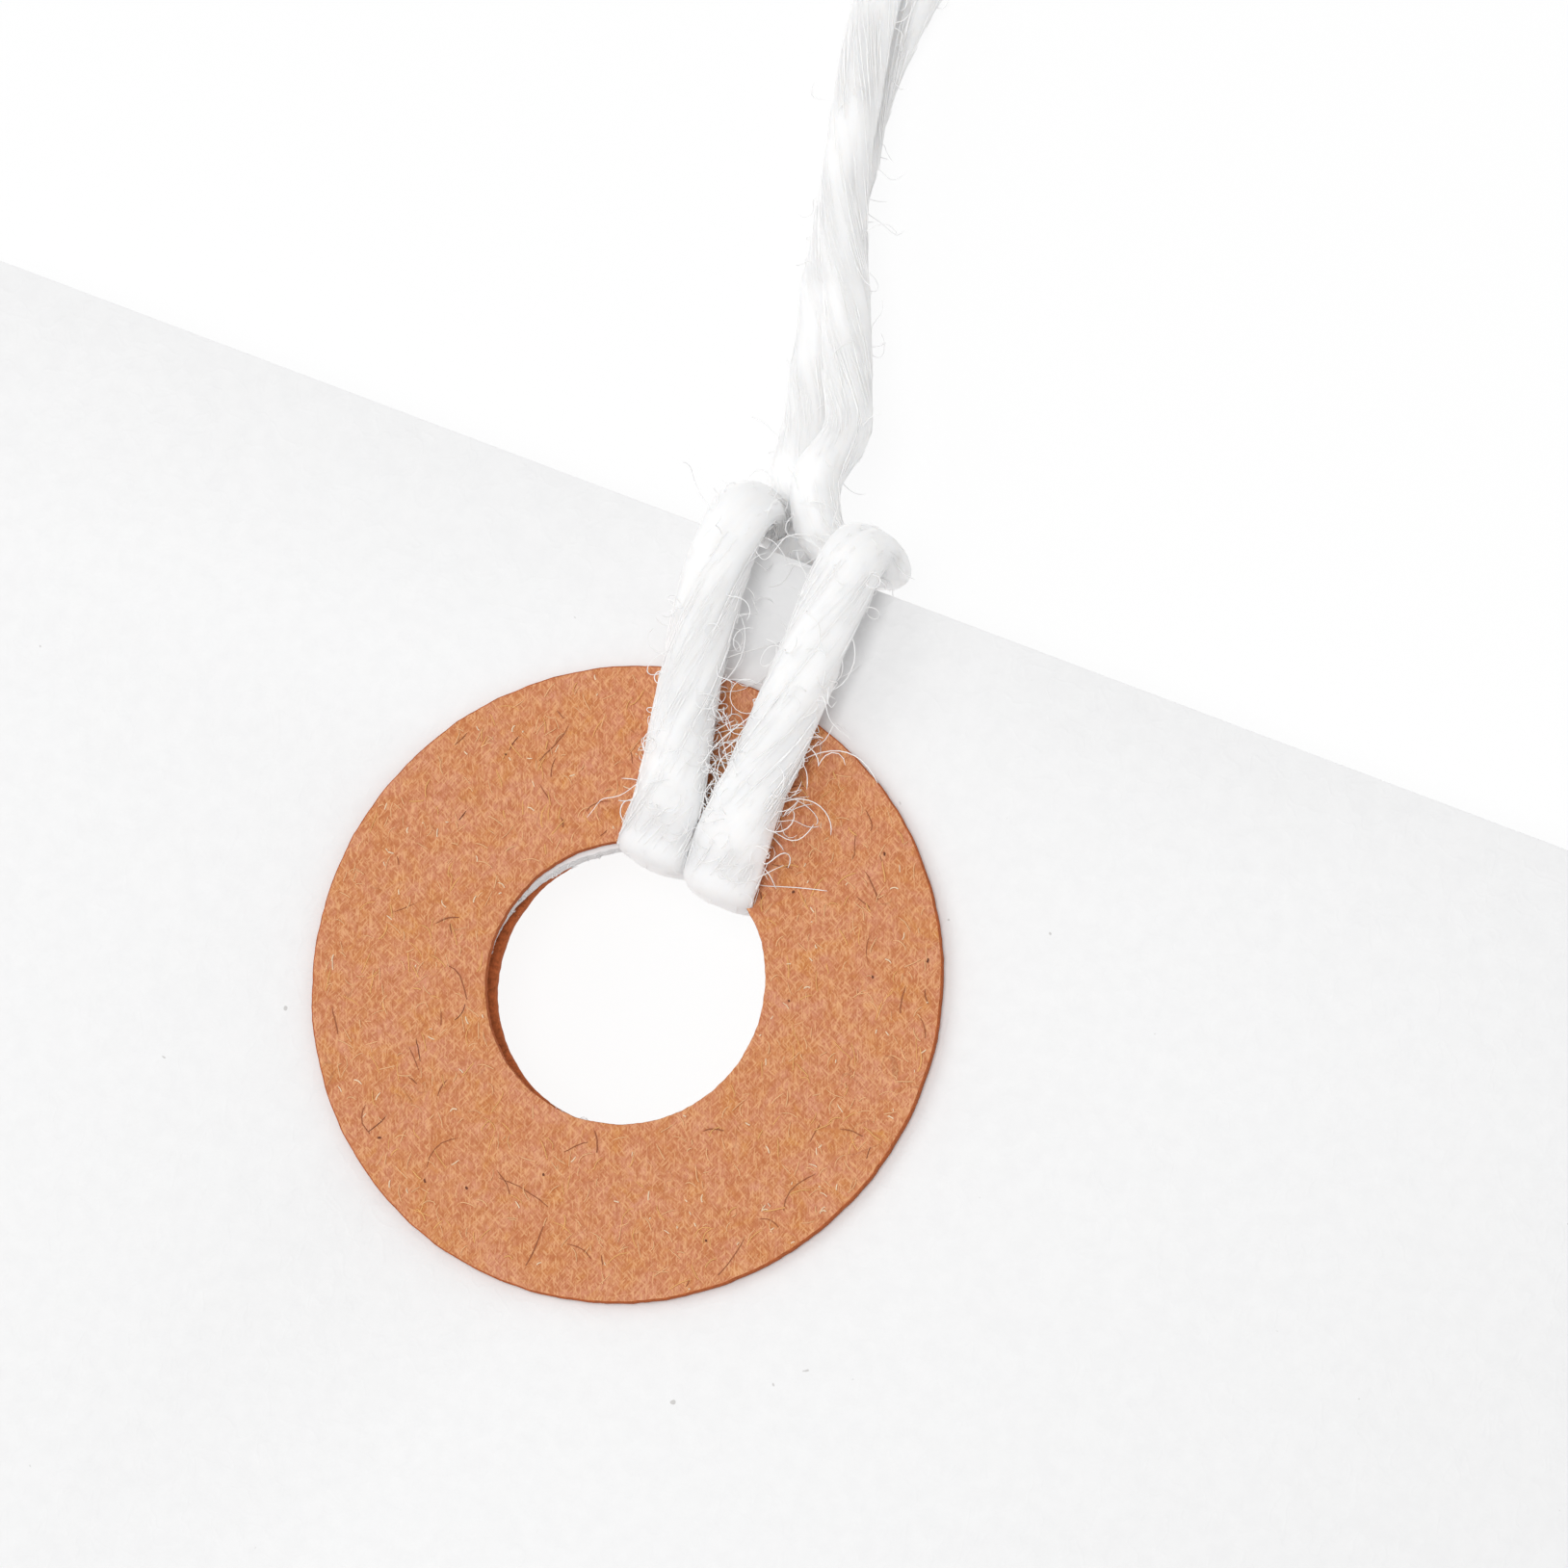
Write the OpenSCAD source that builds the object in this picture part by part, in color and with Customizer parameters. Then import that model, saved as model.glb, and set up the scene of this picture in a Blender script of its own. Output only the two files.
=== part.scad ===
// White card tag with a fibre patch glued on each side of its hole, and a soft cotton string that
// is folded double, hitched through the hole and knotted at its ends.
// The tag lies face up on the plane z = 0: its lower edge and the string's hitch touch that plane.
// The origin is below the middle of the card, +Y points to the edge with the hole, +Z up.

/* [Card] */
// Width of the card
card_w = 50.8; // [47:0.2:70]
// Length of the card
card_len = 88.9; // [60:0.1:130]
// Thickness of the card
card_t = 0.5; // [0.3:0.05:0.9]
// Size of the cut across each upper corner
corner_cut = 5; // [1:0.5:8]
// Distance from the upper edge to the middle of the hole
hole_to_edge = 10.2; // [9:0.1:11]
// Diameter of the punched hole
hole_d = 6.35; // [5.5:0.05:8]

/* [Patches] */
// Outer diameter of each patch
patch_d = 14.3; // [11:0.1:16]
// Thickness of each patch
patch_t = 0.25; // [0.15:0.01:0.4]
// Thickness of the glue film under each patch
glue_t = 0.03; // [0.02:0.01:0.06]
// How far the glue film stops short of the patch's rims
glue_inset = 0.2; // [0.1:0.05:0.5]

/* [String] */
// Diameter of the string
string_d = 1.1; // [0.9:0.05:1.25]
// Room between the string and the card or patch that it lies on
string_gap = 0.05; // [0.03:0.01:0.08]
// Room between the hitch and the card's upper edge
edge_gap = 0.2; // [0.15:0.05:0.4]
// How far the hitch's legs rise towards the upper edge
leg_lift = 0.25; // [0:0.05:0.5]
// Radius of the hitch's legs where they turn down past the upper edge
leg_bend = 0.9; // [0.85:0.05:1]
// Place across the card where the left leg comes out of the hole
left_leg_x = -0.3; // [-0.6:0.05:-0.2]
// Place across the card where the right leg comes out of the hole
right_leg_x = 1.4; // [1.2:0.05:1.6]
// Place across the card where the left leg passes the upper edge
left_top_x = -1.45; // [-1.6:0.05:-1.4]
// Place across the card where the right leg passes the upper edge
right_top_x = 1.95; // [1.9:0.05:2.1]

/* [Knot] */
// Largest diameter of the knot
knot_d = 2.9; // [2.8:0.05:3.2]
// Length of the knot
knot_len = 3.2; // [2.6:0.1:3.6]
// Diameter of the knot's ends, where the strands go in
knot_end_d = 2.3; // [2.2:0.05:2.6]

/* [Hidden] */

card_white = [0.93, 0.93, 0.92];
fibre_brown = [0.82, 0.55, 0.38];
glue_amber = [0.90, 0.84, 0.68];
cotton_white = [0.97, 0.96, 0.95];

round_steps = 96;
tube_sides = 8;
turn_step = 30;
cut_over = 1;

hole_r = hole_d / 2;
hole_y = card_len / 2 - hole_to_edge;
string_r = string_d / 2;

// Heights above the card's middle plane: the patch's face, and the string that lies on it
face_z = card_t / 2 + glue_t + patch_t;
lay_z = face_z + string_gap + string_r;

// The hitch: how it turns round a rim, where its legs drop, and where its crossbar runs
rim_turn = string_r + string_gap;
pass_r = hole_r - rim_turn;
drop_y = hole_to_edge + string_r + edge_gap;
cross_reach = string_d + 2 * string_gap;
cross_z = -lay_z - cross_reach;
left_out_x = left_top_x + cross_reach;
right_out_x = right_top_x - cross_reach;
stand_apart = right_out_x - left_out_x;
right_rise = sqrt(max(0, pow(string_d + string_gap, 2) - pow(stand_apart, 2))) + string_gap;
under_edge_x = left_out_x + cross_reach;
straight_run = 0.9;
leg_top_z = lay_z + leg_lift;
leg_mid_y = (pass_r + hole_to_edge) / 2;

// How far past the crossbar the hitch ends, the string bends, and the free strands start
hitch_over = 0.95;
bend_over = 0.8;
hitch_end_y = drop_y + hitch_over;
bend_y = hitch_end_y + bend_over;
end_shift = 0.3;
left_end_x = left_out_x - end_shift;
right_end_x = right_out_x - end_shift;
left_end_z = -lay_z;
right_end_z = -lay_z + right_rise + string_gap;

// How the tag lies: tilted so that its lower edge and the crossbar both touch z = 0
rest_span = card_len / 2 + hole_y + drop_y;
rest_drop = -cross_z - card_t / 2;
rest_tilt = asin(string_r / norm([rest_span, rest_drop])) + atan2(rest_drop, rest_span);
rest_lift = card_len / 2 * sin(rest_tilt) + card_t / 2 * cos(rest_tilt);

// A point given from the hole's middle and the card's middle plane, as it lies on z = 0
function seat(p) =
    let (y = p.y + hole_y)
    [
        p.x,
        y * cos(rest_tilt) - p.z * sin(rest_tilt),
        y * sin(rest_tilt) + p.z * cos(rest_tilt) + rest_lift
    ];
function seat_all(points) = [for (p = points) seat(p)];

// A point given from the hole's middle and the height above z = 0
function ground(p) = [p.x, p.y + hole_y, p.z];
function ground_all(points) = [for (p = points) ground(p)];

function reversed(list) = [for (i = [len(list) - 1 : -1 : 0]) list[i]];

// The string's way through the hole at x, from the back of the card round the rim to its front
function through_hole(x) =
    let (y = sqrt(pass_r * pass_r - x * x) + rim_turn)
    concat(
        [[x, y + straight_run, -lay_z]],
        [
            for (a = [270 : -turn_step : 180])
                [x, y + rim_turn * cos(a), -face_z + rim_turn * sin(a)]
        ],
        [
            for (a = [180 : -turn_step : 90])
                [x, y + rim_turn * cos(a), face_z + rim_turn * sin(a)]
        ],
        [[x, y + straight_run, lay_z]]
    );

// A leg of the hitch, from the hole over the front of the card and down past its upper edge
function front_leg(hole_x, top_x) =
    concat(
        [[(hole_x + top_x) / 2, leg_mid_y, lay_z + leg_lift / 2]],
        [
            for (a = [90 : -turn_step : 0])
                [
                    top_x,
                    drop_y - leg_bend + leg_bend * cos(a),
                    leg_top_z - leg_bend + leg_bend * sin(a)
                ]
        ]
    );

// The crossbar's turn under one standing strand
function cross_turn(x, from, to) = [
    for (a = [from : turn_step : to])
        [x + cross_reach * cos(a), drop_y, -lay_z + cross_reach * sin(a)]
];

left_back = [
    [left_end_x, hitch_end_y, left_end_z],
    [left_out_x, drop_y, -lay_z],
    [left_out_x, hole_to_edge - straight_run, -lay_z]
];
right_back = [
    [under_edge_x, hole_to_edge - straight_run, -lay_z],
    [under_edge_x - string_gap, hole_to_edge, -lay_z + string_gap],
    [under_edge_x - 1.5 * string_gap, (hole_to_edge + drop_y) / 2, -lay_z + right_rise / 2],
    [right_out_x, drop_y, -lay_z + right_rise],
    [right_end_x, hitch_end_y, right_end_z]
];
hitch_route = concat(
    left_back,
    through_hole(left_leg_x),
    front_leg(left_leg_x, left_top_x),
    cross_turn(left_out_x, 180, 270),
    cross_turn(right_out_x, 270, 360),
    reversed(front_leg(right_leg_x, right_top_x)),
    reversed(through_hole(right_leg_x)),
    right_back
);

// Routes of the free strands: across and along from the hole's middle, and height above z = 0
left_free = [
    [-1.3, 13.5, 1.5],
    [-1.8, 14.5, 1.2],
    [-2.2, 15.5, 0.9],
    [-2.6, 16.5, 0.7],
    [-2.85, 17.5, 0.6],
    [-3.05, 18.5, 0.55],
    [-3.15, 19.5, 0.55],
    [-3.25, 20.5, 0.55],
    [-3.15, 21.5, 0.55],
    [-2.95, 22.5, 0.55],
    [-2.7, 24, 0.55],
    [-2.55, 26, 0.55],
    [-2.55, 28, 0.55],
    [-2.55, 31, 0.55]
];
right_free = [
    [-0.4, 13.5, 2.35],
    [-0.9, 14.5, 2.05],
    [-1.4, 15.5, 1.75],
    [-1.85, 16.5, 1.65],
    [-2.35, 17.5, 1.65],
    [-2.75, 18.5, 1.67],
    [-3.05, 19.5, 1.7],
    [-3.25, 20.5, 1.7],
    [-3.4, 21.5, 1.67],
    [-3.45, 22.5, 1.6],
    [-3.7, 24, 1.2],
    [-3.85, 26, 0.65],
    [-3.85, 28, 0.55],
    [-3.85, 31, 0.55]
];

// The fold of the unseen length: an arch beside the run, then a short run back to the knot
fold_r = 6.5;
fold_at = [-9.7, 34];
fold_step = 15;
pair_apart = 1.3;
knot_in_apart = 1.16;
knot_in_y = 29;
knot_z = knot_d / 2;

function fold_arc(side) = [
    for (a = [0 : fold_step : 180])
        let (r = fold_r + side * pair_apart / 2)
        [fold_at.x + r * cos(a), fold_at.y + r * sin(a), string_r]
];
function run_back(side) =
    let (x = fold_at.x - fold_r)
    [
        [x - side * pair_apart / 2, 32.6, 0.65],
        [x - side * pair_apart / 2, 31.4, 1.05],
        [x - side * knot_in_apart / 2, knot_in_y + string_d, knot_z],
        [x - side * knot_in_apart / 2, knot_in_y, knot_z]
    ];
left_route = ground_all(concat(left_free, fold_arc(1), run_back(1)));
right_route = ground_all(concat(right_free, fold_arc(-1), run_back(-1)));

knot_at = ground([fold_at.x - fold_r, knot_in_y - knot_len / 2, knot_z]);
tail_y = knot_in_y - knot_len;
left_tail = ground_all([
    [-16.78, tail_y, knot_z],
    [-16.78, tail_y - string_d, knot_z],
    [-17.1, tail_y - 2, 1.15],
    [-17.5, tail_y - 2.9, 0.75],
    [-17.9, tail_y - 3.8, 0.6]
]);
right_tail = ground_all([
    [-15.62, tail_y, knot_z],
    [-15.62, tail_y - string_d, knot_z],
    [-15.45, tail_y - 2, 1.1],
    [-15.1, tail_y - 2.8, 0.7],
    [-14.7, tail_y - 3.4, 0.6]
]);

// A tube of even thickness along a list of points
function unit(v) = v / norm(v);
function run(p, i) = unit(p[i + 1] - p[i]);
function heading(p, i) =
    i == 0 ? run(p, 0)
    : i == len(p) - 1 ? run(p, i - 1)
    : unit(run(p, i - 1) + run(p, i));
function squared(n, t) = unit(n - t * (n * t));
function side_vectors(p, n, i = 0) =
    i == len(p) ? []
    : let (m = squared(n, heading(p, i))) concat([m], side_vectors(p, m, i + 1));

// The bend between the hitch's ends and the free strands, square to both
neck_stub = 0.3;
hitch_seated = seat_all(hitch_route);
function neck_route(from, out, to, on) = [from, from + neck_stub * out, to - neck_stub * on, to];
left_neck = neck_route(
    hitch_seated[0],
    -run(hitch_seated, 0),
    left_route[0],
    run(left_route, 0)
);
right_neck = neck_route(
    hitch_seated[len(hitch_seated) - 1],
    run(hitch_seated, len(hitch_seated) - 2),
    right_route[0],
    run(right_route, 0)
);

module tube(route, r = string_r, sides = tube_sides) {
    out = side_vectors(route, [0, 0, 1]);
    last = (len(route) - 1) * sides;
    points = [
        for (i = [0 : len(route) - 1])
            let (across = cross(heading(route, i), out[i]))
            for (j = [0 : sides - 1])
                let (a = 360 * (j + 0.5) / sides)
                route[i] + r * (cos(a) * out[i] + sin(a) * across)
    ];
    walls = [
        for (i = [0 : len(route) - 2])
            for (j = [0 : sides - 1])
                let (a = i * sides + j, b = i * sides + (j + 1) % sides)
                each [[a, a + sides, b], [b, a + sides, b + sides]]
    ];
    ends = [
        for (j = [1 : sides - 2])
            each [[0, j, j + 1], [last, last + j + 1, last + j]]
    ];
    polyhedron(points, concat(walls, ends));
}

// Least room between two tubes, and within one tube between stretches that are not neighbours
function room_between(p, q) =
    min([for (a = p) for (b = q) norm(a - b)]) - string_d;
function room_within(p, apart = 6) =
    min([
        for (i = [0 : len(p) - 1])
            for (j = [i + apart : 1 : len(p) - 1])
                norm(p[i] - p[j])
    ]) - string_d;
echo(left_strand_room = room_within(left_route), right_strand_room = room_within(right_route));
echo(room_between_strands = room_between(left_route, right_route));
echo(fold_axis = seat([0, bend_y, (left_end_z + right_end_z) / 2]), rest_tilt = rest_tilt);
echo(hole_middle = seat([0, 0, 0]));

// Places a shape made about the hole's middle on the lying card
module seated() {
    translate([0, 0, rest_lift])
        rotate([rest_tilt, 0, 0])
            translate([0, hole_y, 0])
                children();
}

module punched(h) {
    translate([0, 0, -cut_over])
        cylinder(h = h + 2 * cut_over, r = hole_r, $fn = round_steps);
}

module card() {
    side = card_w / 2;
    top = hole_to_edge;
    bottom = hole_to_edge - card_len;
    color(card_white)
        seated()
            translate([0, 0, -card_t / 2])
                difference() {
                    linear_extrude(card_t)
                        polygon([
                            [-side, bottom],
                            [side, bottom],
                            [side, top - corner_cut],
                            [side - corner_cut, top],
                            [-side + corner_cut, top],
                            [-side, top - corner_cut]
                        ]);
                    punched(card_t);
                }
}

// A flat ring round the hole
module ring(h, outer_r, inner_r) {
    difference() {
        cylinder(h = h, r = outer_r, $fn = round_steps);
        translate([0, 0, -cut_over])
            cylinder(h = h + 2 * cut_over, r = inner_r, $fn = round_steps);
    }
}

module patch_ring() {
    ring(patch_t, patch_d / 2, hole_r);
}

module glue_ring() {
    ring(glue_t, patch_d / 2 - glue_inset, hole_r + glue_inset);
}

module front_patch() {
    color(fibre_brown)
        seated()
            translate([0, 0, card_t / 2 + glue_t])
                patch_ring();
}

module front_glue() {
    color(glue_amber)
        seated()
            translate([0, 0, card_t / 2])
                glue_ring();
}

module back_patch() {
    color(fibre_brown)
        seated()
            translate([0, 0, -face_z])
                patch_ring();
}

module back_glue() {
    color(glue_amber)
        seated()
            translate([0, 0, -card_t / 2 - glue_t])
                glue_ring();
}

module string_hitch() {
    color(cotton_white)
        tube(hitch_seated);
}

module string_neck() {
    color(cotton_white) {
        tube(left_neck);
        tube(right_neck);
    }
}

module left_strand() {
    color(cotton_white)
        tube(left_route);
}

module right_strand() {
    color(cotton_white)
        tube(right_route);
}

module string_knot() {
    half = knot_len / 2;
    bulge = (half * half + pow((knot_d - knot_end_d) / 2, 2)) / (knot_d - knot_end_d);
    color(cotton_white)
        translate(knot_at)
            rotate([90, 0, 0])
                rotate_extrude($fn = round_steps)
                    intersection() {
                        translate([knot_d / 2 - bulge, 0])
                            circle(r = bulge, $fn = round_steps);
                        translate([0, -half])
                            square([knot_d, knot_len]);
                    }
}

module string_tails() {
    color(cotton_white) {
        tube(left_tail);
        tube(right_tail);
    }
}

card();
front_patch();
front_glue();
back_patch();
back_glue();
string_hitch();
string_neck();
left_strand();
right_strand();
string_knot();
string_tails();
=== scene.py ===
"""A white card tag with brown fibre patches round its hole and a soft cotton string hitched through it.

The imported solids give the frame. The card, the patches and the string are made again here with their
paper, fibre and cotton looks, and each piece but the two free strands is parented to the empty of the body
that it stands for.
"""

import math
import random

import bpy
import numpy as np
from bpy.props import FloatProperty, FloatVectorProperty, IntProperty, PointerProperty
from bpy.types import Operator, Panel, PropertyGroup
from mathutils import Matrix, Vector, noise


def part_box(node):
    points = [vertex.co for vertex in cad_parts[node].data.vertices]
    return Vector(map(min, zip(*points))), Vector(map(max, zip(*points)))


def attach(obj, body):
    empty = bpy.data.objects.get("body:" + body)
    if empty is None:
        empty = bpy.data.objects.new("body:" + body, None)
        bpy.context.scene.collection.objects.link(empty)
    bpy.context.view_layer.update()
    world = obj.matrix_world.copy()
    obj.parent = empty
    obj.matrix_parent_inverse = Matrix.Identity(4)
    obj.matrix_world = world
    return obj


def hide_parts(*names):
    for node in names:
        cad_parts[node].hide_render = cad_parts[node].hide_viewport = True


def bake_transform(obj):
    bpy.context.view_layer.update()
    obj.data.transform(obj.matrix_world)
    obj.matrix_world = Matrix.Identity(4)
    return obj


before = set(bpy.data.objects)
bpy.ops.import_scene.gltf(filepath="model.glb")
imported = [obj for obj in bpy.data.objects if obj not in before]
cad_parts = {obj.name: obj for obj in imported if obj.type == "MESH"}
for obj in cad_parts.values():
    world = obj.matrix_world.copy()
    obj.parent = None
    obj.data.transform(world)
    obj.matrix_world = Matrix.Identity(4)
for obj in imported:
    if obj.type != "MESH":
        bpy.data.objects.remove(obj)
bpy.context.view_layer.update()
card_low, card_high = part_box("card")
patch_low, patch_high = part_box("front_patch")
knot_low, knot_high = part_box("string_knot")

bl_info = {
    "name": "Strung card tag",
    "version": (1, 0, 0),
    "blender": (4, 5, 0),
    "location": "View3D > Sidebar > Tag",
    "description": "Makes a card tag with fibre patches and a hitched cotton string",
    "category": "Add Mesh",
}

# How the card lies: its thickness gives the tilt from the box of the tilted card
CARD_THICKNESS = 0.0005
card_rise = card_high.z - card_low.z
card_run = card_high.y - card_low.y
CARD_TILT = math.atan2(card_rise, card_run) - math.asin(CARD_THICKNESS / math.hypot(card_rise, card_run))
CARD_LENGTH = (card_run - CARD_THICKNESS * math.sin(CARD_TILT)) / math.cos(CARD_TILT)
CARD_MIDDLE = (card_low + card_high) / 2


def metres(*points):
    """Points that are given in millimetres."""
    return [tuple(value / 1000 for value in point) for point in points]


# Routes of the free strands and the tails: across and along from the hole's middle, and height above
# the floor, in millimetres
LEFT_FREE = metres(
    (-1.55, 13.5, 1.50), (-1.95, 14.5, 1.20), (-2.20, 15.5, 0.90), (-2.60, 16.5, 0.70),
    (-2.85, 17.5, 0.60), (-3.05, 18.5, 0.55), (-3.15, 19.5, 0.55), (-3.35, 20.5, 0.55),
    (-3.45, 21.5, 0.55), (-3.45, 22.5, 0.55), (-3.25, 24.0, 0.55), (-2.80, 26.0, 0.55),
    (-2.55, 28.0, 0.55), (-2.55, 31.0, 0.55),
)
RIGHT_FREE = metres(
    (-0.40, 13.5, 2.35), (-0.90, 14.5, 2.05), (-1.40, 15.5, 1.75), (-1.85, 16.5, 1.65),
    (-2.35, 17.5, 1.65), (-2.75, 18.5, 1.67), (-3.05, 19.5, 1.70), (-3.30, 20.5, 1.70),
    (-3.55, 21.5, 1.70), (-3.75, 22.5, 1.65), (-4.00, 24.0, 1.35), (-4.00, 26.0, 0.75),
    (-3.85, 28.0, 0.55), (-3.85, 31.0, 0.55),
)
LEFT_TAIL = metres(
    (-16.78, 26.5, 1.45), (-16.78, 24.7, 1.45), (-17.10, 23.8, 1.15), (-17.50, 22.9, 0.75),
    (-17.90, 22.0, 0.60),
)
RIGHT_TAIL = metres(
    (-15.62, 26.5, 1.45), (-15.62, 24.7, 1.45), (-15.45, 23.8, 1.10), (-15.10, 23.0, 0.70),
    (-14.70, 22.4, 0.60),
)

# The fold of the length that the photo doesn't show, and the knot at its end
FOLD_RADIUS = 0.0065
FOLD_MIDDLE = (-0.0097, 0.034)
PAIR_APART = 0.0013
KNOT_IN_APART = 0.00116
KNOT_IN_Y = 0.029
RUN_BACK_START = (0.0326, 0.00065)
RUN_BACK_RISE = (0.0314, 0.00105)

# The hitch: the run along the card beside each bend, and where it ends past the crossbar
STRAIGHT_RUN = 0.0009
HITCH_OVER = 0.00095
# Points of the hitch's route, behind the card, where its mesh meets those of the strands
HITCH_JOINS = (2, -5)
# How far to the left the strands lie behind the card, and how much further where they leave the hitch
STRAND_SHIFT = 0.0004
END_SHIFT = 0.00055
# Between points of the string's line, and from the floor to the lowest of its skin
PATH_STEP = 0.00012
LOWEST = 0.00001
# Points over which the twist of the hitch goes over to that of the strands
TWIST_SOFT = 12
# Round the hole's rim: how much wider the string lies, how far that reaches, and how far it is thin
RIM_SPREAD = 0.7
RIM_SPREAD_REACH = 0.0022
RIM_PRESS_REACH = 0.0012
# Points round the string, its slow swell as a share and the swell's length
SKIN_POINTS = 72
SWELL = 0.015
SWELL_LENGTH = 0.0043
# A frayed end: how thin it ends, as a share, and how far back it begins
FRAY_END = 0.35
FRAY_LENGTH = 0.0013
# Loose hairs, as shares: all along, at the upper edge, near the hole and between the legs
FUZZ_PLAIN = 0.06
FUZZ_EDGE = 0.19
FUZZ_HOLE = 0.66
FUZZ_BETWEEN = 0.3
FUZZ_HOLE_REACH = 0.0045
FUZZ_EDGE_REACH = 0.0012
HAIR_STEPS = 12
# The knot's wrap: its turns, the points of its line and the share of the knot that it runs along
WRAP_TURNS = 2.6
WRAP_STEPS = 44
WRAP_RUN = 1.72
# The card's hole, in degrees round it: where it is torn and burred, and how widely
TEAR_WAY = 207
TEAR_WIDTH = 48
BURR_WAY = 130
BURR_WIDTH = 30
HOLE_RAG = 0.00003
PUNCH_POINTS = 224
FRINGE_FIBRES = 260
FRINGE_RADIUS = 0.000012
# The soft bevel of the card's and the patches' cut edges
CARD_BEVEL = 0.00004
PATCH_BEVEL = 0.00003
# The patches: points round them, cuts across them, roughness of their rims and height of their felt
PATCH_POINTS = 300
PATCH_CUTS = 34
RIM_RAG = 0.000028
RIM_RAG_REACH = 0.0004
FELT_HEIGHT = 0.000011
# How far the back patch's hole sits off the front one's, in the back patch's own plane
BACK_OFF = Vector((0.00005, -0.00003, 0))
BACK_OFF_REACH = 0.0008

# Strokes of the patches' grain: their turn in degrees and how fine they are
PATCH_STROKES = ((22, 25000), (-20, 28000), (62, 28000))

# Single fibres on a patch: material, how many, shortest, longest and thickness as a share
PATCH_FIBRES = (
    (0, 180, 0.0002, 0.0006, 0.9),
    (1, 420, 0.00012, 0.00045, 0.8),
    (3, 130, 0.00004, 0.00022, 0.8),
    (4, 50, 0.0002, 0.0007, 0.6),
    (4, 14, 0.0006, 0.0014, 0.65),
    (2, 7, 0.0002, 0.0006, 0.55),
    (2, 14, 0.00004, 0.0001, 1.2),
)
GRAIN_WAY = math.radians(112)
FIBRE_RADIUS = 0.00002
RIM_ROOM = 0.0001

# Ridges of fibres round the string: how many, how high as a share, and the length of their sway
FIBRE_RIDGES = ((5, 0.010, 0.011), (9, 0.008, 0.008), (15, 0.007, 0.007), (23, 0.007, 0.005))


def length(name, description, default):
    """A length in metres."""
    return FloatProperty(
        name=name, description=description, default=default, precision=5, subtype="DISTANCE", unit="LENGTH"
    )


def angle(name, description, degrees):
    """An angle, given in degrees."""
    return FloatProperty(
        name=name, description=description, default=math.radians(degrees), subtype="ANGLE", unit="ROTATION"
    )


def colour(name, description, default):
    """A linear colour."""
    return FloatVectorProperty(
        name=name, description=description, default=default, size=3, min=0, max=1, subtype="COLOR"
    )


class TagSizes(PropertyGroup):
    """Sizes of the card, its patches and the hitch."""

    card_width: length("Card width", "Width of the card", card_high.x - card_low.x)
    card_length: length("Card length", "Length of the card", CARD_LENGTH)
    card_thickness: length("Card thickness", "Thickness of the card", CARD_THICKNESS)
    corner_cut: length("Corner cut", "Size of the cut across each upper corner", 0.005)
    hole_to_edge: length("Hole to edge", "From the upper edge to the middle of the hole", 0.0102)
    hole_diameter: length("Hole", "Diameter of the punched hole", 0.00635)
    patch_diameter: length("Patch", "Outer diameter of each patch", patch_high.x - patch_low.x)
    patch_thickness: length("Patch thickness", "Thickness of each patch", 0.00025)
    glue_thickness: length("Glue film", "Thickness of the glue under each patch", 0.00003)
    string_diameter: length("String", "Diameter of the string", 0.0011)
    string_gap: length("String room", "Room between the string and what it lies on", 0.00005)
    edge_gap: length("Edge room", "Room between the hitch and the upper edge", 0.0002)
    leg_lift: length("Leg lift", "How far the legs rise towards the upper edge", 0.00025)
    leg_bend: length("Leg bend", "Radius of the legs where they turn down past the edge", 0.0009)
    left_leg_x: length("Left leg at hole", "Place across the card at the hole", -0.0005)
    right_leg_x: length("Right leg at hole", "Place across the card at the hole", 0.0012)
    left_top_x: length("Left leg at edge", "Place across the card at the upper edge", -0.00145)
    right_top_x: length("Right leg at edge", "Place across the card at the upper edge", 0.00135)
    hole_tear: length("Hole tear", "How far the card is torn back at the hole's left", 0.00020)
    hole_burr: length("Hole burr", "How far the card stands proud at the hole's upper left", 0.00012)


class TagYarn(PropertyGroup):
    """How the cotton string is spun."""

    plies: IntProperty(name="Plies", description="Soft bundles in the string", default=4, min=2, max=6)
    ply_radius: length("Ply radius", "Radius of one bundle", 0.00043)
    ply_offset: length("Ply offset", "From the string's middle to a bundle's middle", 0.00012)
    hitch_turn: length("Hitch twist", "Length of one turn of twist in the hitch", 0.0125)
    strand_turn: length("Strand twist", "Length of one turn of twist in the free strands", -0.013)
    leg_spread: FloatProperty(
        name="Leg spread", description="How much wider the string lies in the hitch", default=0.34
    )
    rim_press: FloatProperty(
        name="Rim press", description="Thickness of the string at the hole's rim, as a share", default=0.42
    )
    hair_radius: length("Hair radius", "Radius of a loose cotton hair", 0.0000115)
    hairs_per_mm: FloatProperty(name="Hairs", description="Loose hairs on each millimetre", default=92)
    strands_per_mm: FloatProperty(name="Fibres", description="Laid fibres on each millimetre", default=13)


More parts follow.
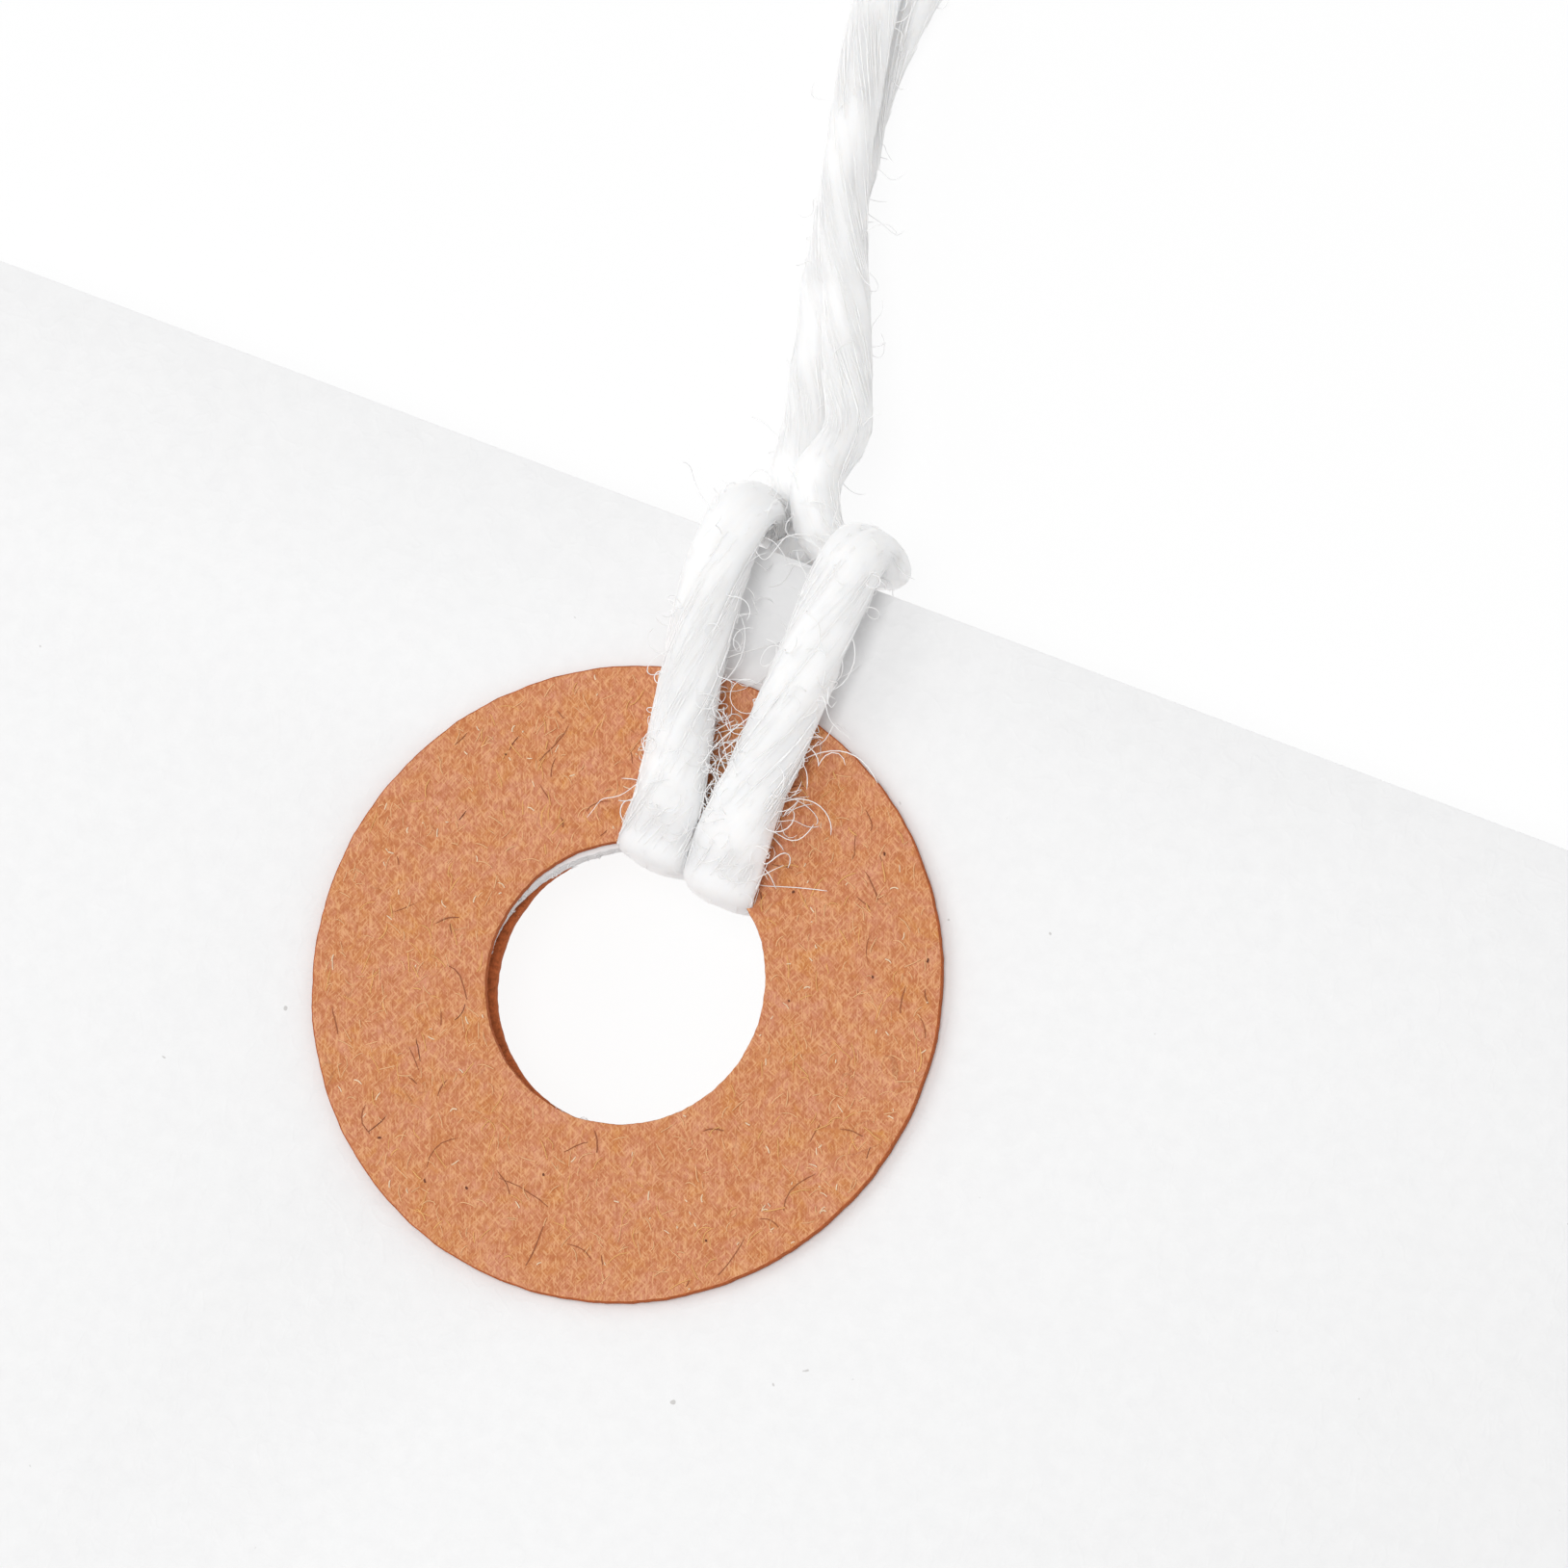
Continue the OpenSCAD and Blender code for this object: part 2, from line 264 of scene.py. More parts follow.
class TagColours(PropertyGroup):
    """Colours of the card, the fibre patches and the cotton."""

    card_white: colour("Card", "White of the card's faces", (0.87, 0.87, 0.872))
    card_shade: colour("Card shade", "Darker white of the card's grain", (0.848, 0.848, 0.851))
    # The cut edge's white stands above the faces' white: torn fibre with painted light that lifts the shaded
    # wall of the hole
    edge_white_and_painted_light: colour("Cut edge", "White of the card's cut edge", (0.95, 0.945, 0.945))
    patch_brown: colour("Fibre brown", "Main brown of the patches", (0.583, 0.222, 0.098))
    patch_pink: colour("Fibre pink", "Pinker brown of the patches", (0.652, 0.284, 0.176))
    patch_gold: colour("Fibre gold", "Golden brown of the patches", (0.615, 0.256, 0.074))
    patch_pale: colour("Fibre pale", "Palest fibres of the patches", (0.84, 0.47, 0.24))
    patch_shade: colour("Fibre shade", "Brown between the fibres of the patches", (0.46, 0.148, 0.056))
    patch_edge: colour("Fibre edge", "Cut edge and glued face of the patches", (0.56, 0.15, 0.05))
    patch_dark: colour("Fibre dark", "Darkest fibres of the patches", (0.16, 0.05, 0.025))
    glue_amber: colour("Glue", "Dried glue film", (0.78, 0.67, 0.42))
    cotton_white: colour("Cotton", "White of the string", (0.995, 0.992, 0.992))
    cotton_shade: colour("Cotton shade", "White between the string's fibres", (0.98, 0.975, 0.975))


class TagView(PropertyGroup):
    """The camera and the light of the photo."""

    azimuth: angle("Azimuth", "Turn of the camera round the tag", 69.7)
    elevation: angle("Elevation", "Height of the camera above the card's plane", 74.5)
    roll: angle("Roll", "Turn of the camera about its own line of sight", -48.1)
    focal_length: FloatProperty(name="Lens", description="Focal length in millimetres", default=250.0)
    sensor: FloatProperty(name="Sensor", description="Sensor width in millimetres", default=36.0)
    frame_width: length("Frame", "Width of the card that fills the image", 0.03476)
    aim_x: length("Aim across", "From the hole's middle to the image's middle", 0.00165)
    aim_y: length("Aim along", "From the hole's middle to the image's middle", 0.00539)
    sky: FloatProperty(name="Sky", description="Strength of the even light", default=0.57)
    key: FloatProperty(name="Key", description="Power of the lamp at the left, in watts", default=0.27)
    top: FloatProperty(name="Top", description="Power of the lamp above, in watts", default=1.5)


def hole_along(sizes):
    """From the card's middle along to the hole's middle."""
    return sizes.card_length / 2 - sizes.hole_to_edge


def tag_lie(sizes):
    """Takes a point from the hole's middle and the card's middle plane to its place on the lying tag."""
    turned = Matrix.Translation(CARD_MIDDLE) @ Matrix.Rotation(CARD_TILT, 4, "X")
    return turned @ Matrix.Translation((0, hole_along(sizes), 0))


def on_floor(sizes, points):
    """Takes points from the hole's middle and the floor to the frame."""
    return [Vector((x, y + hole_along(sizes), z)) for x, y, z in points]


def face_height(sizes):
    """Height of a patch's face above the card's middle plane."""
    return sizes.card_thickness / 2 + sizes.glue_thickness + sizes.patch_thickness


def side_arc(x, y, z, radius, start, stop):
    """Points of an arc that stands across the card's edge, from one angle to another in degrees."""
    step = math.copysign(15, stop - start)
    steps = round((stop - start) / step)
    turns = [math.radians(start + step * i) for i in range(steps + 1)]
    return [(x, y + radius * math.cos(a), z + radius * math.sin(a)) for a in turns]


def cross_arc(x, y, z, radius, start, stop):
    """Points of an arc that stands along the card's edge, from one angle to another in degrees."""
    return [(px + x, y, pz) for _, px, pz in side_arc(0, 0, z, radius, start, stop)]


def through_hole(sizes, x, face, lay):
    """The string's way through the hole, from the back of the card round the rim to its front."""
    press = bpy.context.scene.tag_yarn.rim_press
    rim = sizes.string_diameter / 2 * press + sizes.string_gap
    y = math.sqrt((sizes.hole_diameter / 2 - rim) ** 2 - x * x) + rim
    round_back = side_arc(x, y, -face, rim, 270, 180)
    round_front = side_arc(x, y, face, rim, 180, 90)
    return [(x, y + STRAIGHT_RUN, -lay), *round_back, *round_front, (x, y + STRAIGHT_RUN, lay)]


def front_leg(sizes, hole_x, top_x, lay, drop_y):
    """A leg of the hitch, from the hole over the front of the card and down past its upper edge."""
    rim = sizes.string_diameter / 2 + sizes.string_gap
    middle_y = (sizes.hole_diameter / 2 - rim + sizes.hole_to_edge) / 2
    bend = sizes.leg_bend
    middle = ((hole_x + top_x) / 2, middle_y, lay + sizes.leg_lift / 2)
    return [middle, *side_arc(top_x, drop_y - bend, lay + sizes.leg_lift - bend, bend, 90, 0)]


def hitch_route(sizes):
    """The string's way round the card, from where the left strand leaves it to where the right one does."""
    radius = sizes.string_diameter / 2
    gap = sizes.string_gap
    face = face_height(sizes)
    lay = face + gap + radius
    edge = sizes.hole_to_edge
    drop_y = edge + radius + sizes.edge_gap
    reach = sizes.string_diameter + 2 * gap
    left_x = sizes.left_top_x + reach
    right_x = sizes.right_top_x - reach
    apart = right_x - left_x
    rise = math.sqrt(max(0, (sizes.string_diameter + gap) ** 2 - apart**2)) + gap
    under_x = left_x + reach
    strand_x = left_x - STRAND_SHIFT
    end_y = drop_y + HITCH_OVER
    left_back = [
        (strand_x - END_SHIFT, end_y, -lay),
        (strand_x, drop_y, -lay),
        (strand_x, edge - STRAIGHT_RUN, -lay),
    ]
    right_back = [
        (under_x, edge - STRAIGHT_RUN, -lay),
        (under_x - gap, edge, gap - lay),
        (under_x - 1.5 * gap, (edge + drop_y) / 2, rise / 2 - lay),
        (right_x, drop_y, rise - lay),
        (right_x - END_SHIFT, end_y, rise + gap - lay),
    ]
    left_leg = front_leg(sizes, sizes.left_leg_x, sizes.left_top_x, lay, drop_y)
    right_leg = front_leg(sizes, sizes.right_leg_x, sizes.right_top_x, lay, drop_y)
    points = [
        *left_back,
        *through_hole(sizes, sizes.left_leg_x, face, lay),
        *left_leg,
        *cross_arc(left_x, drop_y, -lay, reach, 180, 270),
        *cross_arc(right_x, drop_y, -lay, reach, 270, 360),
        *reversed(right_leg),
        *reversed(through_hole(sizes, sizes.right_leg_x, face, lay)),
        *right_back,
    ]
    lie = tag_lie(sizes)
    return [lie @ Vector(p) for p in points]


def strand_route(sizes, free, side):
    """A free strand from the hitch to the knot. side is 1 for the left one, outside in the fold."""
    x, y = FOLD_MIDDLE
    radius = FOLD_RADIUS + side * PAIR_APART / 2
    height = sizes.string_diameter / 2
    turns = [math.radians(15 * i) for i in range(13)]
    fold = [(x + radius * math.cos(a), y + radius * math.sin(a), height) for a in turns]
    back_x = x - FOLD_RADIUS
    run_x = back_x - side * PAIR_APART / 2
    knot_x = back_x - side * KNOT_IN_APART / 2
    knot_z = (knot_low.z + knot_high.z) / 2
    run_back = [
        (run_x, *RUN_BACK_START),
        (run_x, *RUN_BACK_RISE),
        (knot_x, KNOT_IN_Y + sizes.string_diameter, knot_z),
        (knot_x, KNOT_IN_Y, knot_z),
    ]
    return on_floor(sizes, [*free, *fold, *run_back])


def even_path(points):
    """A smooth line through points, as an array with a point at each step."""
    marks = np.array([tuple(p) for p in points])
    spans = np.linalg.norm(np.diff(marks, axis=0), axis=1)
    at = np.concatenate(([0], np.cumsum(spans)))
    slopes = np.gradient(marks, at, axis=0)
    along = np.linspace(0, at[-1], round(at[-1] / PATH_STEP) + 1)
    i = np.clip(np.searchsorted(at, along, side="right") - 1, 0, len(spans) - 1)
    h = spans[i][:, None]
    t = (along - at[i])[:, None] / h
    start = (1 + 2 * t) * (1 - t) ** 2 * marks[i] + t * (1 - t) ** 2 * h * slopes[i]
    stop = t**2 * (3 - 2 * t) * marks[i + 1] + t**2 * (t - 1) * h * slopes[i + 1]
    return start + stop


def unit_rows(rows):
    """Each row of an array made one long."""
    return rows / np.linalg.norm(rows, axis=1)[:, None]


class Spine:
    """The string's middle line with the directions across it, its twist and how it is pressed flat."""

    def __init__(self, points, turns_per_metre, spread, thick=None):
        self.points = points
        heading = unit_rows(np.gradient(points, axis=0))
        side = np.cross(heading[0], (0.0, 0.0, 1.0))
        sides = []
        for ahead in heading:
            side = side - ahead * side.dot(ahead)
            side = side / np.linalg.norm(side)
            sides.append(side)
        self.heading = heading
        self.side = np.array(sides)
        self.across = np.cross(heading, self.side)
        steps = np.linalg.norm(np.diff(points, axis=0), axis=1)
        self.along = np.concatenate(([0], np.cumsum(steps)))
        rate = 2 * math.pi * turns_per_metre
        self.twist = np.concatenate(([0], np.cumsum(rate[1:] * steps)))
        self.wide = 1 + spread * (1 - heading[:, 0] ** 2) ** 4
        self.thick = np.ones(len(points)) if thick is None else thick
        self.up = unit_rows(np.cross(heading, (1.0, 0.0, 0.0)) + 1e-9)

    def cut(self, first, last):
        """The stretch from one point to another."""
        part = Spine.__new__(Spine)
        for name, rows in self.__dict__.items():
            setattr(part, name, rows[first : last + 1])
        return part

    def pressed(self, i, way):
        """A step from the line at point i as it is where the string is pressed flat and wide."""
        flat = way + (self.thick[i] - 1) * np.dot(way, self.up[i]) * self.up[i]
        return flat * np.array((self.wide[i], 1.0, 1.0))

    def outward(self, i, turn):
        """The direction across the line at point i, pressed as the string is."""
        return self.pressed(i, math.cos(turn) * self.side[i] + math.sin(turn) * self.across[i])


def nearest(points, place):
    """The number of the point that is nearest to a place."""
    return int(np.argmin(np.linalg.norm(points - np.array(place), axis=1)))


def string_spine(sizes, yarn):
    """The whole string from knot to knot, with the numbers of the points where the hitch is cut out of it."""
    hitch = hitch_route(sizes)
    left = strand_route(sizes, LEFT_FREE, 1)
    right = strand_route(sizes, RIGHT_FREE, -1)
    points = even_path([*reversed(left), *hitch, *right])
    first, last = (nearest(points, hitch[i]) for i in HITCH_JOINS)
    count = np.arange(len(points))
    inside = 1 / (1 + np.exp(-(count - first) / TWIST_SOFT)) / (1 + np.exp((count - last) / TWIST_SOFT))
    turns = inside / yarn.hitch_turn + (1 - inside) / yarn.strand_turn
    hole = np.array(tag_lie(sizes).translation)
    from_rim = np.linalg.norm(points - hole, axis=1) - sizes.hole_diameter / 2
    press = 1 + RIM_SPREAD * np.exp(-((from_rim / RIM_SPREAD_REACH) ** 2))
    thick = 1 - (1 - yarn.rim_press) * np.exp(-((from_rim / RIM_PRESS_REACH) ** 2))
    return Spine(points, turns, inside * press * yarn.leg_spread, thick), first, last


def skin_radius(yarn, turn):
    """From the string's middle to its skin, at an angle from the middle of its first bundle."""
    bundle = 2 * math.pi / yarn.plies
    off = (turn + bundle / 2) % bundle - bundle / 2
    return yarn.ply_offset * np.cos(off) + np.sqrt(yarn.ply_radius**2 - (yarn.ply_offset * np.sin(off)) ** 2)


def skin_rings(spine, yarn, thin, rng):
    """Rings of points of the string's skin, and each point's place round the string and along it."""
    turn = 2 * math.pi * np.arange(SKIN_POINTS) / SKIN_POINTS
    along = spine.along[:, None]
    ridge = np.ones((len(spine.points), SKIN_POINTS))
    for lobes, depth, wave in FIBRE_RIDGES:
        sway = rng.uniform(0.8, 1.6) * np.sin(2 * math.pi * along / wave + rng.uniform(0, 6.3))
        ridge += depth * np.cos(lobes * turn + rng.uniform(0, 6.3) + sway)
    swell = 1 + SWELL * np.sin(2 * math.pi * along / SWELL_LENGTH + rng.uniform(0, 6.3))
    radius = thin[:, None] * swell * ridge * skin_radius(yarn, turn)
    phase = spine.twist[:, None] + turn
    across = (radius * np.sin(phase))[:, :, None] * spine.across[:, None, :]
    offset = (radius * np.cos(phase))[:, :, None] * spine.side[:, None, :] + across
    rise = np.sum(offset * spine.up[:, None, :], axis=2) * (spine.thick - 1)[:, None]
    offset += rise[:, :, None] * spine.up[:, None, :]
    offset[:, :, 0] *= spine.wide[:, None]
    ring = spine.points[:, None, :] + offset
    ring[:, :, 2] = np.maximum(ring[:, :, 2], LOWEST)
    lay = np.empty_like(offset)
    lay[:, :, 0] = np.cos(turn)
    lay[:, :, 1] = np.sin(turn)
    lay[:, :, 2] = along
    return ring, lay


def tube_faces(rings, around, start):
    """Faces of a closed tube of rings, whose first point has the number start."""
    ring = np.arange(rings - 1)[:, None] * around + start
    j = np.arange(around)
    after = (j + 1) % around
    walls = np.stack([ring + j, ring + after, ring + around + after, ring + around + j], axis=-1)
    last = start + (rings - 1) * around
    caps = [[start + int(i) for i in j[::-1]], [last + int(i) for i in j]]
    return walls.reshape(-1, 4).tolist() + caps


def yarn_object(name, spines, yarn, material, rng, frayed=False):
    """A stretch of spun string as one mesh. A frayed one opens towards its last point."""
    points, faces, lays = [], [], []
    start = 0
    for spine in spines:
        thin = np.ones(len(spine.points))
        if frayed:
            left = spine.along[-1] - spine.along
            thin = np.clip(FRAY_END + (1 - FRAY_END) * left / FRAY_LENGTH, FRAY_END, 1)
        ring, lay = skin_rings(spine, yarn, thin, rng)
        count, around = ring.shape[:2]
        points.append(ring.reshape(-1, 3))
        lays.append(lay.reshape(-1, 3))
        faces += tube_faces(count, around, start)
        start += count * around
    mesh = bpy.data.meshes.new(name)
    mesh.from_pydata(np.concatenate(points).tolist(), [], faces)
    laid = mesh.attributes.new("fibre_lay", "FLOAT_VECTOR", "POINT")
    laid.data.foreach_set("vector", np.concatenate(lays).ravel())
    made = bpy.data.objects.new(name, mesh)
    bpy.context.collection.objects.link(made)
    pick(made)
    bpy.ops.object.shade_smooth()
    mesh.materials.append(material)
    return made


def pick(obj):
    """Makes obj the only selected and active object."""
    bpy.ops.object.select_all(action="DESELECT")
    obj.select_set(True)
    bpy.context.view_layer.objects.active = obj
    return obj


def added(step, name, **settings):
    """Adds a primitive, a lamp or a camera, and names it."""
    bpy.ops.object.select_all(action="DESELECT")
    step(**settings)
    made = bpy.context.object
    made.name = made.data.name = name
    return made


def start_edges():
    """Deselects the active mesh, and leaves it ready for its edges to be picked in code."""
    bpy.ops.object.mode_set(mode="EDIT")
    bpy.ops.mesh.select_mode(type="EDGE")
    bpy.ops.mesh.select_all(action="DESELECT")
    bpy.ops.object.mode_set(mode="OBJECT")


def in_edit(step, **settings):
    """Takes one step of modelling in edit mode."""
    bpy.ops.object.mode_set(mode="EDIT")
    step(**settings)
    bpy.ops.object.mode_set(mode="OBJECT")


def apply_modifier(obj, kind, **settings):
    """Adds a modifier to obj with these settings and applies it."""
    pick(obj)
    modifier = obj.modifiers.new(kind.title(), kind)
    for name, value in settings.items():
        setattr(modifier, name, value)
    bpy.ops.object.modifier_apply(modifier=modifier.name)


def set_down(obj, place):
    """Puts obj at a place and keeps that place in its mesh."""
    pick(obj)
    obj.matrix_world = place
    bpy.ops.object.transform_apply(location=True, rotation=True, scale=True)


def hair_object(name, lines, radius, materials):
    """Thin fibres as one mesh. A line is its points, its share of radius and its material's number."""
    curve = bpy.data.curves.new(name, "CURVE")
    curve.dimensions = "3D"
    curve.bevel_depth = radius
    curve.bevel_resolution = 0
    curve.use_fill_caps = True
    for material in materials:
        curve.materials.append(material)
    for points, share, index in lines:
        spline = curve.splines.new("POLY")
        spline.points.add(len(points) - 1)
        spline.points.foreach_set("co", [value for p in points for value in (*p, 1.0)])
        taper = [share] * (len(points) - 1) + [share * 0.4]
        spline.points.foreach_set("radius", taper)
        spline.material_index = index
    made = bpy.data.objects.new(name, curve)
    bpy.context.collection.objects.link(made)
    pick(made)
    bpy.ops.object.convert(target="MESH")
    bpy.ops.object.shade_smooth()
    return made


class TagRoom:
    """Keeps loose hairs out of the card, the patches and the floor."""

    def __init__(self, sizes):
        self.lie = tag_lie(sizes)
        self.back = self.lie.inverted()
        self.half = sizes.card_width / 2
        self.edge = sizes.hole_to_edge
        self.hole = sizes.hole_diameter / 2
        self.patch = sizes.patch_diameter / 2
        self.face = face_height(sizes)
        self.sheet = sizes.card_thickness / 2
        self.skin = 0.00002
        self.legs = (sizes.left_leg_x, sizes.right_leg_x)
        self.up = self.lie.to_3x3() @ Vector((0, 0, 1))

    def fuzz(self, point, way):
        """The share of hairs that stand off the string at a point, most of them near the hole."""
        p = self.back @ Vector(point)
        near = math.exp(-((max(0, p.y - self.hole) / FUZZ_HOLE_REACH) ** 2))
        outer = 1.0
        if p.x < self.legs[0] and way.x < 0:
            outer = 0.5
        elif p.x > self.legs[1] and way.x > 0:
            outer = 0.8
        in_hole = p.y < self.hole - 0.0002 or p.y < self.hole + 0.0005 and way.y < 0
        behind = p.z < 0 and p.y < self.edge + 0.0015
        hidden = 0.0 if in_hole or behind else 1.0
        between = near**8 if self.legs[0] < p.x < self.legs[1] else 0.0
        on_top = 1 - 0.8 * max(0, (way @ self.up) / way.length)
        by_edge = 0.0
        if abs(p.x) < FUZZ_EDGE_REACH:
            by_edge = FUZZ_EDGE * math.exp(-(((p.y - self.edge) / FUZZ_EDGE_REACH) ** 2))
        share = FUZZ_PLAIN + by_edge + FUZZ_HOLE * near + FUZZ_BETWEEN * between
        return share * hidden * outer * on_top

    def over_hole(self, point):
        """Whether a point lies over the open hole."""
        p = self.back @ Vector(point)
        return math.hypot(p.x, p.y) < self.hole - 0.0003

    def clear(self, point):
        """The nearest free place for a point of a hair."""
        p = self.back @ Vector(point)
        from_hole = math.hypot(p.x, p.y)
        if self.hole < from_hole and p.y < self.edge and abs(p.x) < self.half:
            top = (self.face if from_hole < self.patch else self.sheet) + self.skin
            if abs(p.z) < top:
                p.z = math.copysign(top, p.z)
        q = self.lie @ p
        q.z = max(q.z, self.skin)
        return q


def any_way(rng):
    """A direction at random."""
    return Vector((rng.gauss(0, 1), rng.gauss(0, 1), rng.gauss(0, 1))).normalized()


def loose_hairs(spine, yarn, room, count, rng):
    """Curly cotton hairs that stand off the string, most of them near the hole."""
    lines = []
    reach = yarn.ply_offset + yarn.ply_radius
    last = len(spine.points) - 1
    for _ in range(count):
        i = rng.randint(0, last)
        way = Vector(spine.outward(i, rng.uniform(0, 2 * math.pi)))
        point = Vector(spine.points[i]) + way * reach * rng.uniform(0.75, 0.95)
        fuzz = room.fuzz(point, way)
        if rng.random() > fuzz:
            continue
        ahead = Vector(spine.heading[i]) * rng.choice((-1, 1))
        heading = (way * rng.uniform(0.1, 0.9) + ahead * rng.uniform(0.3, 1.0)).normalized()
        axis = any_way(rng)
        step = rng.uniform(0.00008, 0.0002) * (0.6 + 0.5 * fuzz)
        bend = rng.uniform(0.25, 0.75)
        if rng.random() < 0.2 * fuzz and way.x > 0:
            step, bend = 1.7 * step, 0.6 * bend
        points = [point]
        for _ in range(HAIR_STEPS):
            axis = (axis + 0.22 * any_way(rng)).normalized()
            heading = (Matrix.Rotation(bend, 3, axis) @ heading).normalized()
            points.append(room.clear(points[-1] + heading * step))
        thick = rng.uniform(0.7, 1.15)
        if not room.over_hole(points[-1]):
            lines.append((points, thick, 0))
    return lines


def laid_fibres(spine, yarn, count, rng):
    """Cotton fibres that follow the twist and lift a little at their ends."""
    lines = []
    stride = 5
    for _ in range(count):
        steps = rng.randint(5, 9)
        first = rng.randint(0, max(0, len(spine.points) - 1 - steps * stride))
        turn = rng.uniform(0, 2 * math.pi)
        drift = rng.gauss(0, 0.05)
        lift = rng.uniform(0.0, 0.00004)
        points = []
        for j in range(steps + 1):
            i = min(first + j * stride, len(spine.points) - 1)
            lean = turn + drift * j
            skin = skin_radius(yarn, lean) + lift * (2 * j / steps - 1) ** 4
            points.append(Vector(spine.points[i] + spine.outward(i, spine.twist[i] + lean) * skin))
        lines.append((points, rng.uniform(0.6, 1.2), 0))
    return lines


def knot_spines(sizes):
    """Lines of the knot: the two strands through it, and the wrap round them."""
    middle = (knot_low + knot_high) / 2
    half = (knot_high.y - knot_low.y) / 2
    wrap_radius = (knot_high.x - knot_low.x) / 2 - sizes.string_diameter * 0.47
    lines = []
    for side in (-1, 1):
        x = side * KNOT_IN_APART / 2
        reach = ((-1.0, x), (-0.5, 0.65 * x), (0.3, 0.65 * x), (0.75, x))
        lines.append([middle + Vector((across, -share * half, 0)) for share, across in reach])
    wrap = []
    for i in range(WRAP_STEPS + 1):
        share = i / WRAP_STEPS
        tuck = min(1, 7 * share, 7 * (1 - share))
        a = 2 * math.pi * WRAP_TURNS * share
        y = half * (1.0 - WRAP_RUN * share)
        r = wrap_radius * (0.35 + 0.65 * tuck)
        wrap.append(middle + Vector((r * math.cos(a), y, r * math.sin(a))))
    return [*lines, wrap]


def string_fuzz(name, parts, yarn, room, hair, rng):
    """The laid fibres and loose hairs of stretches of the string, as one mesh."""
    lines = []
    for part in parts:
        run = 1000 * (part.along[-1] - part.along[0])
        lines += laid_fibres(part, yarn, round(run * yarn.strands_per_mm), rng)
        lines += loose_hairs(part, yarn, room, round(run * yarn.hairs_per_mm), rng)
    return hair_object(f"{name}_fuzz", lines, yarn.hair_radius, [hair])


def plain_spine(points, yarn):
    """A line that isn't pressed flat, with the hitch's twist."""
    path = even_path(points)
    return Spine(path, np.full(len(path), 1 / yarn.hitch_turn), np.zeros(len(path)))


def new_material(name):
    """An empty material, with its node tree and its shader."""
    material = bpy.data.materials.new(name)
    material.use_nodes = True
    shader = material.node_tree.nodes["Principled BSDF"]
    return material, material.node_tree, shader


def add_node(tree, kind, settings=None, **inputs):
    """A new node. settings are its own values, and inputs are its sockets' values or what they link from."""
    node = tree.nodes.new(kind)
    for name, value in (settings or {}).items():
        setattr(node, name, value)
    for name, value in inputs.items():
        socket = node.inputs[int(name[1:])] if name[1:].isdigit() else node.inputs[name.replace("_", " ")]
        if isinstance(value, bpy.types.NodeSocket):
            tree.links.new(value, socket)
        else:
            socket.default_value = value
    return node


def give(shader, **values):
    """Sets values that are the same all over on a shader's own sockets."""
    for name, value in values.items():
        shader.inputs[name.replace("_", " ")].default_value = value


def object_coords(tree):
    """Coordinates that stay with the piece."""
    return add_node(tree, "ShaderNodeTexCoord").outputs["Object"]


def noise_socket(tree, coords, scale, detail=3.0, rough=0.5, distort=0.0):
    """A grey noise on these coordinates."""
    values = {"Vector": coords, "Scale": scale, "Detail": detail, "Roughness": rough, "Distortion": distort}
    return add_node(tree, "ShaderNodeTexNoise", **values).outputs["Fac"]


def moved(tree, coords, place, scale=(1, 1, 1), turn=0.0, kind="POINT"):
    """Coordinates that are shifted, stretched and turned about Z. TEXTURE stretches the grain itself."""
    values = {"Vector": coords, "Location": place, "Rotation": (0, 0, turn), "Scale": scale}
    return add_node(tree, "ShaderNodeMapping", {"vector_type": kind}, **values).outputs["Vector"]


def ramp(tree, value, low, high):
    """A value that goes from 0 at low to 1 at high."""
    made = add_node(tree, "ShaderNodeMapRange", Value=value, From_Min=low, From_Max=high)
    return made.outputs["Result"]


def maths(tree, operation, first, second):
    """Two values put together."""
    made = add_node(tree, "ShaderNodeMath", {"operation": operation}, i0=first, i1=second)
    return made.outputs[0]


def tint(tree, share, first, second):
    """A colour that goes from first to second by share."""
    made = add_node(tree, "ShaderNodeMix", {"data_type": "RGBA"}, i0=share, i6=first, i7=second)
    return made.outputs[2]


def laid_over(tree, tone, mask, strength, rgb):
    """A tone with a colour laid over it where mask is, at most that strongly."""
    return tint(tree, maths(tree, "MULTIPLY", mask, strength), tone, full(rgb))


def full(rgb):
    """A colour with its alpha."""
    return (*rgb, 1.0)


def darker(rgb, share):
    """A colour at a share of its strength."""
    return tuple(share * value for value in rgb)


def fibre_lines(tree, coords, place, scale, width, gate):
    """Thin curved lines, as fibres in a paper. gate is from 0, all along, to 1, almost nowhere."""
    shifted = moved(tree, coords, place)
    field = noise_socket(tree, shifted, scale, 1.5, 0.45, 0.6)
    off = maths(tree, "ABSOLUTE", maths(tree, "SUBTRACT", field, 0.5), 0.0)
    line = ramp(tree, off, width, 0.0)
    where = noise_socket(tree, moved(tree, coords, (place[1], place[2], place[0])), scale * 0.8, 1.0)
    shown = ramp(tree, where, gate, gate + 0.08)
    return maths(tree, "MULTIPLY", line, shown)


def put_bump(tree, shader, height, strength, distance):
    """Links a height to the shader as bump."""
    made = add_node(tree, "ShaderNodeBump", Strength=strength, Distance=distance, Height=height)
    tree.links.new(made.outputs["Normal"], shader.inputs["Normal"])


def grainy(name, light, dull, grain, ends=(0.35, 0.65), shift=None, bump=None, **finish):
    """A material whose colour goes from dull to light with a noise.

    grain is the noise's scale, detail and roughness, shift is its place and stretch, and bump is its
    strength and depth.
    """
    material, tree, shader = new_material(name)
    coords = object_coords(tree)
    if shift:
        coords = moved(tree, coords, *shift)
    field = noise_socket(tree, coords, *grain)
    tone = tint(tree, ramp(tree, field, *ends), full(dull), full(light))
    tree.links.new(tone, shader.inputs["Base Color"])
    if bump:
        put_bump(tree, shader, field, *bump)
    give(shader, **finish)
    return material


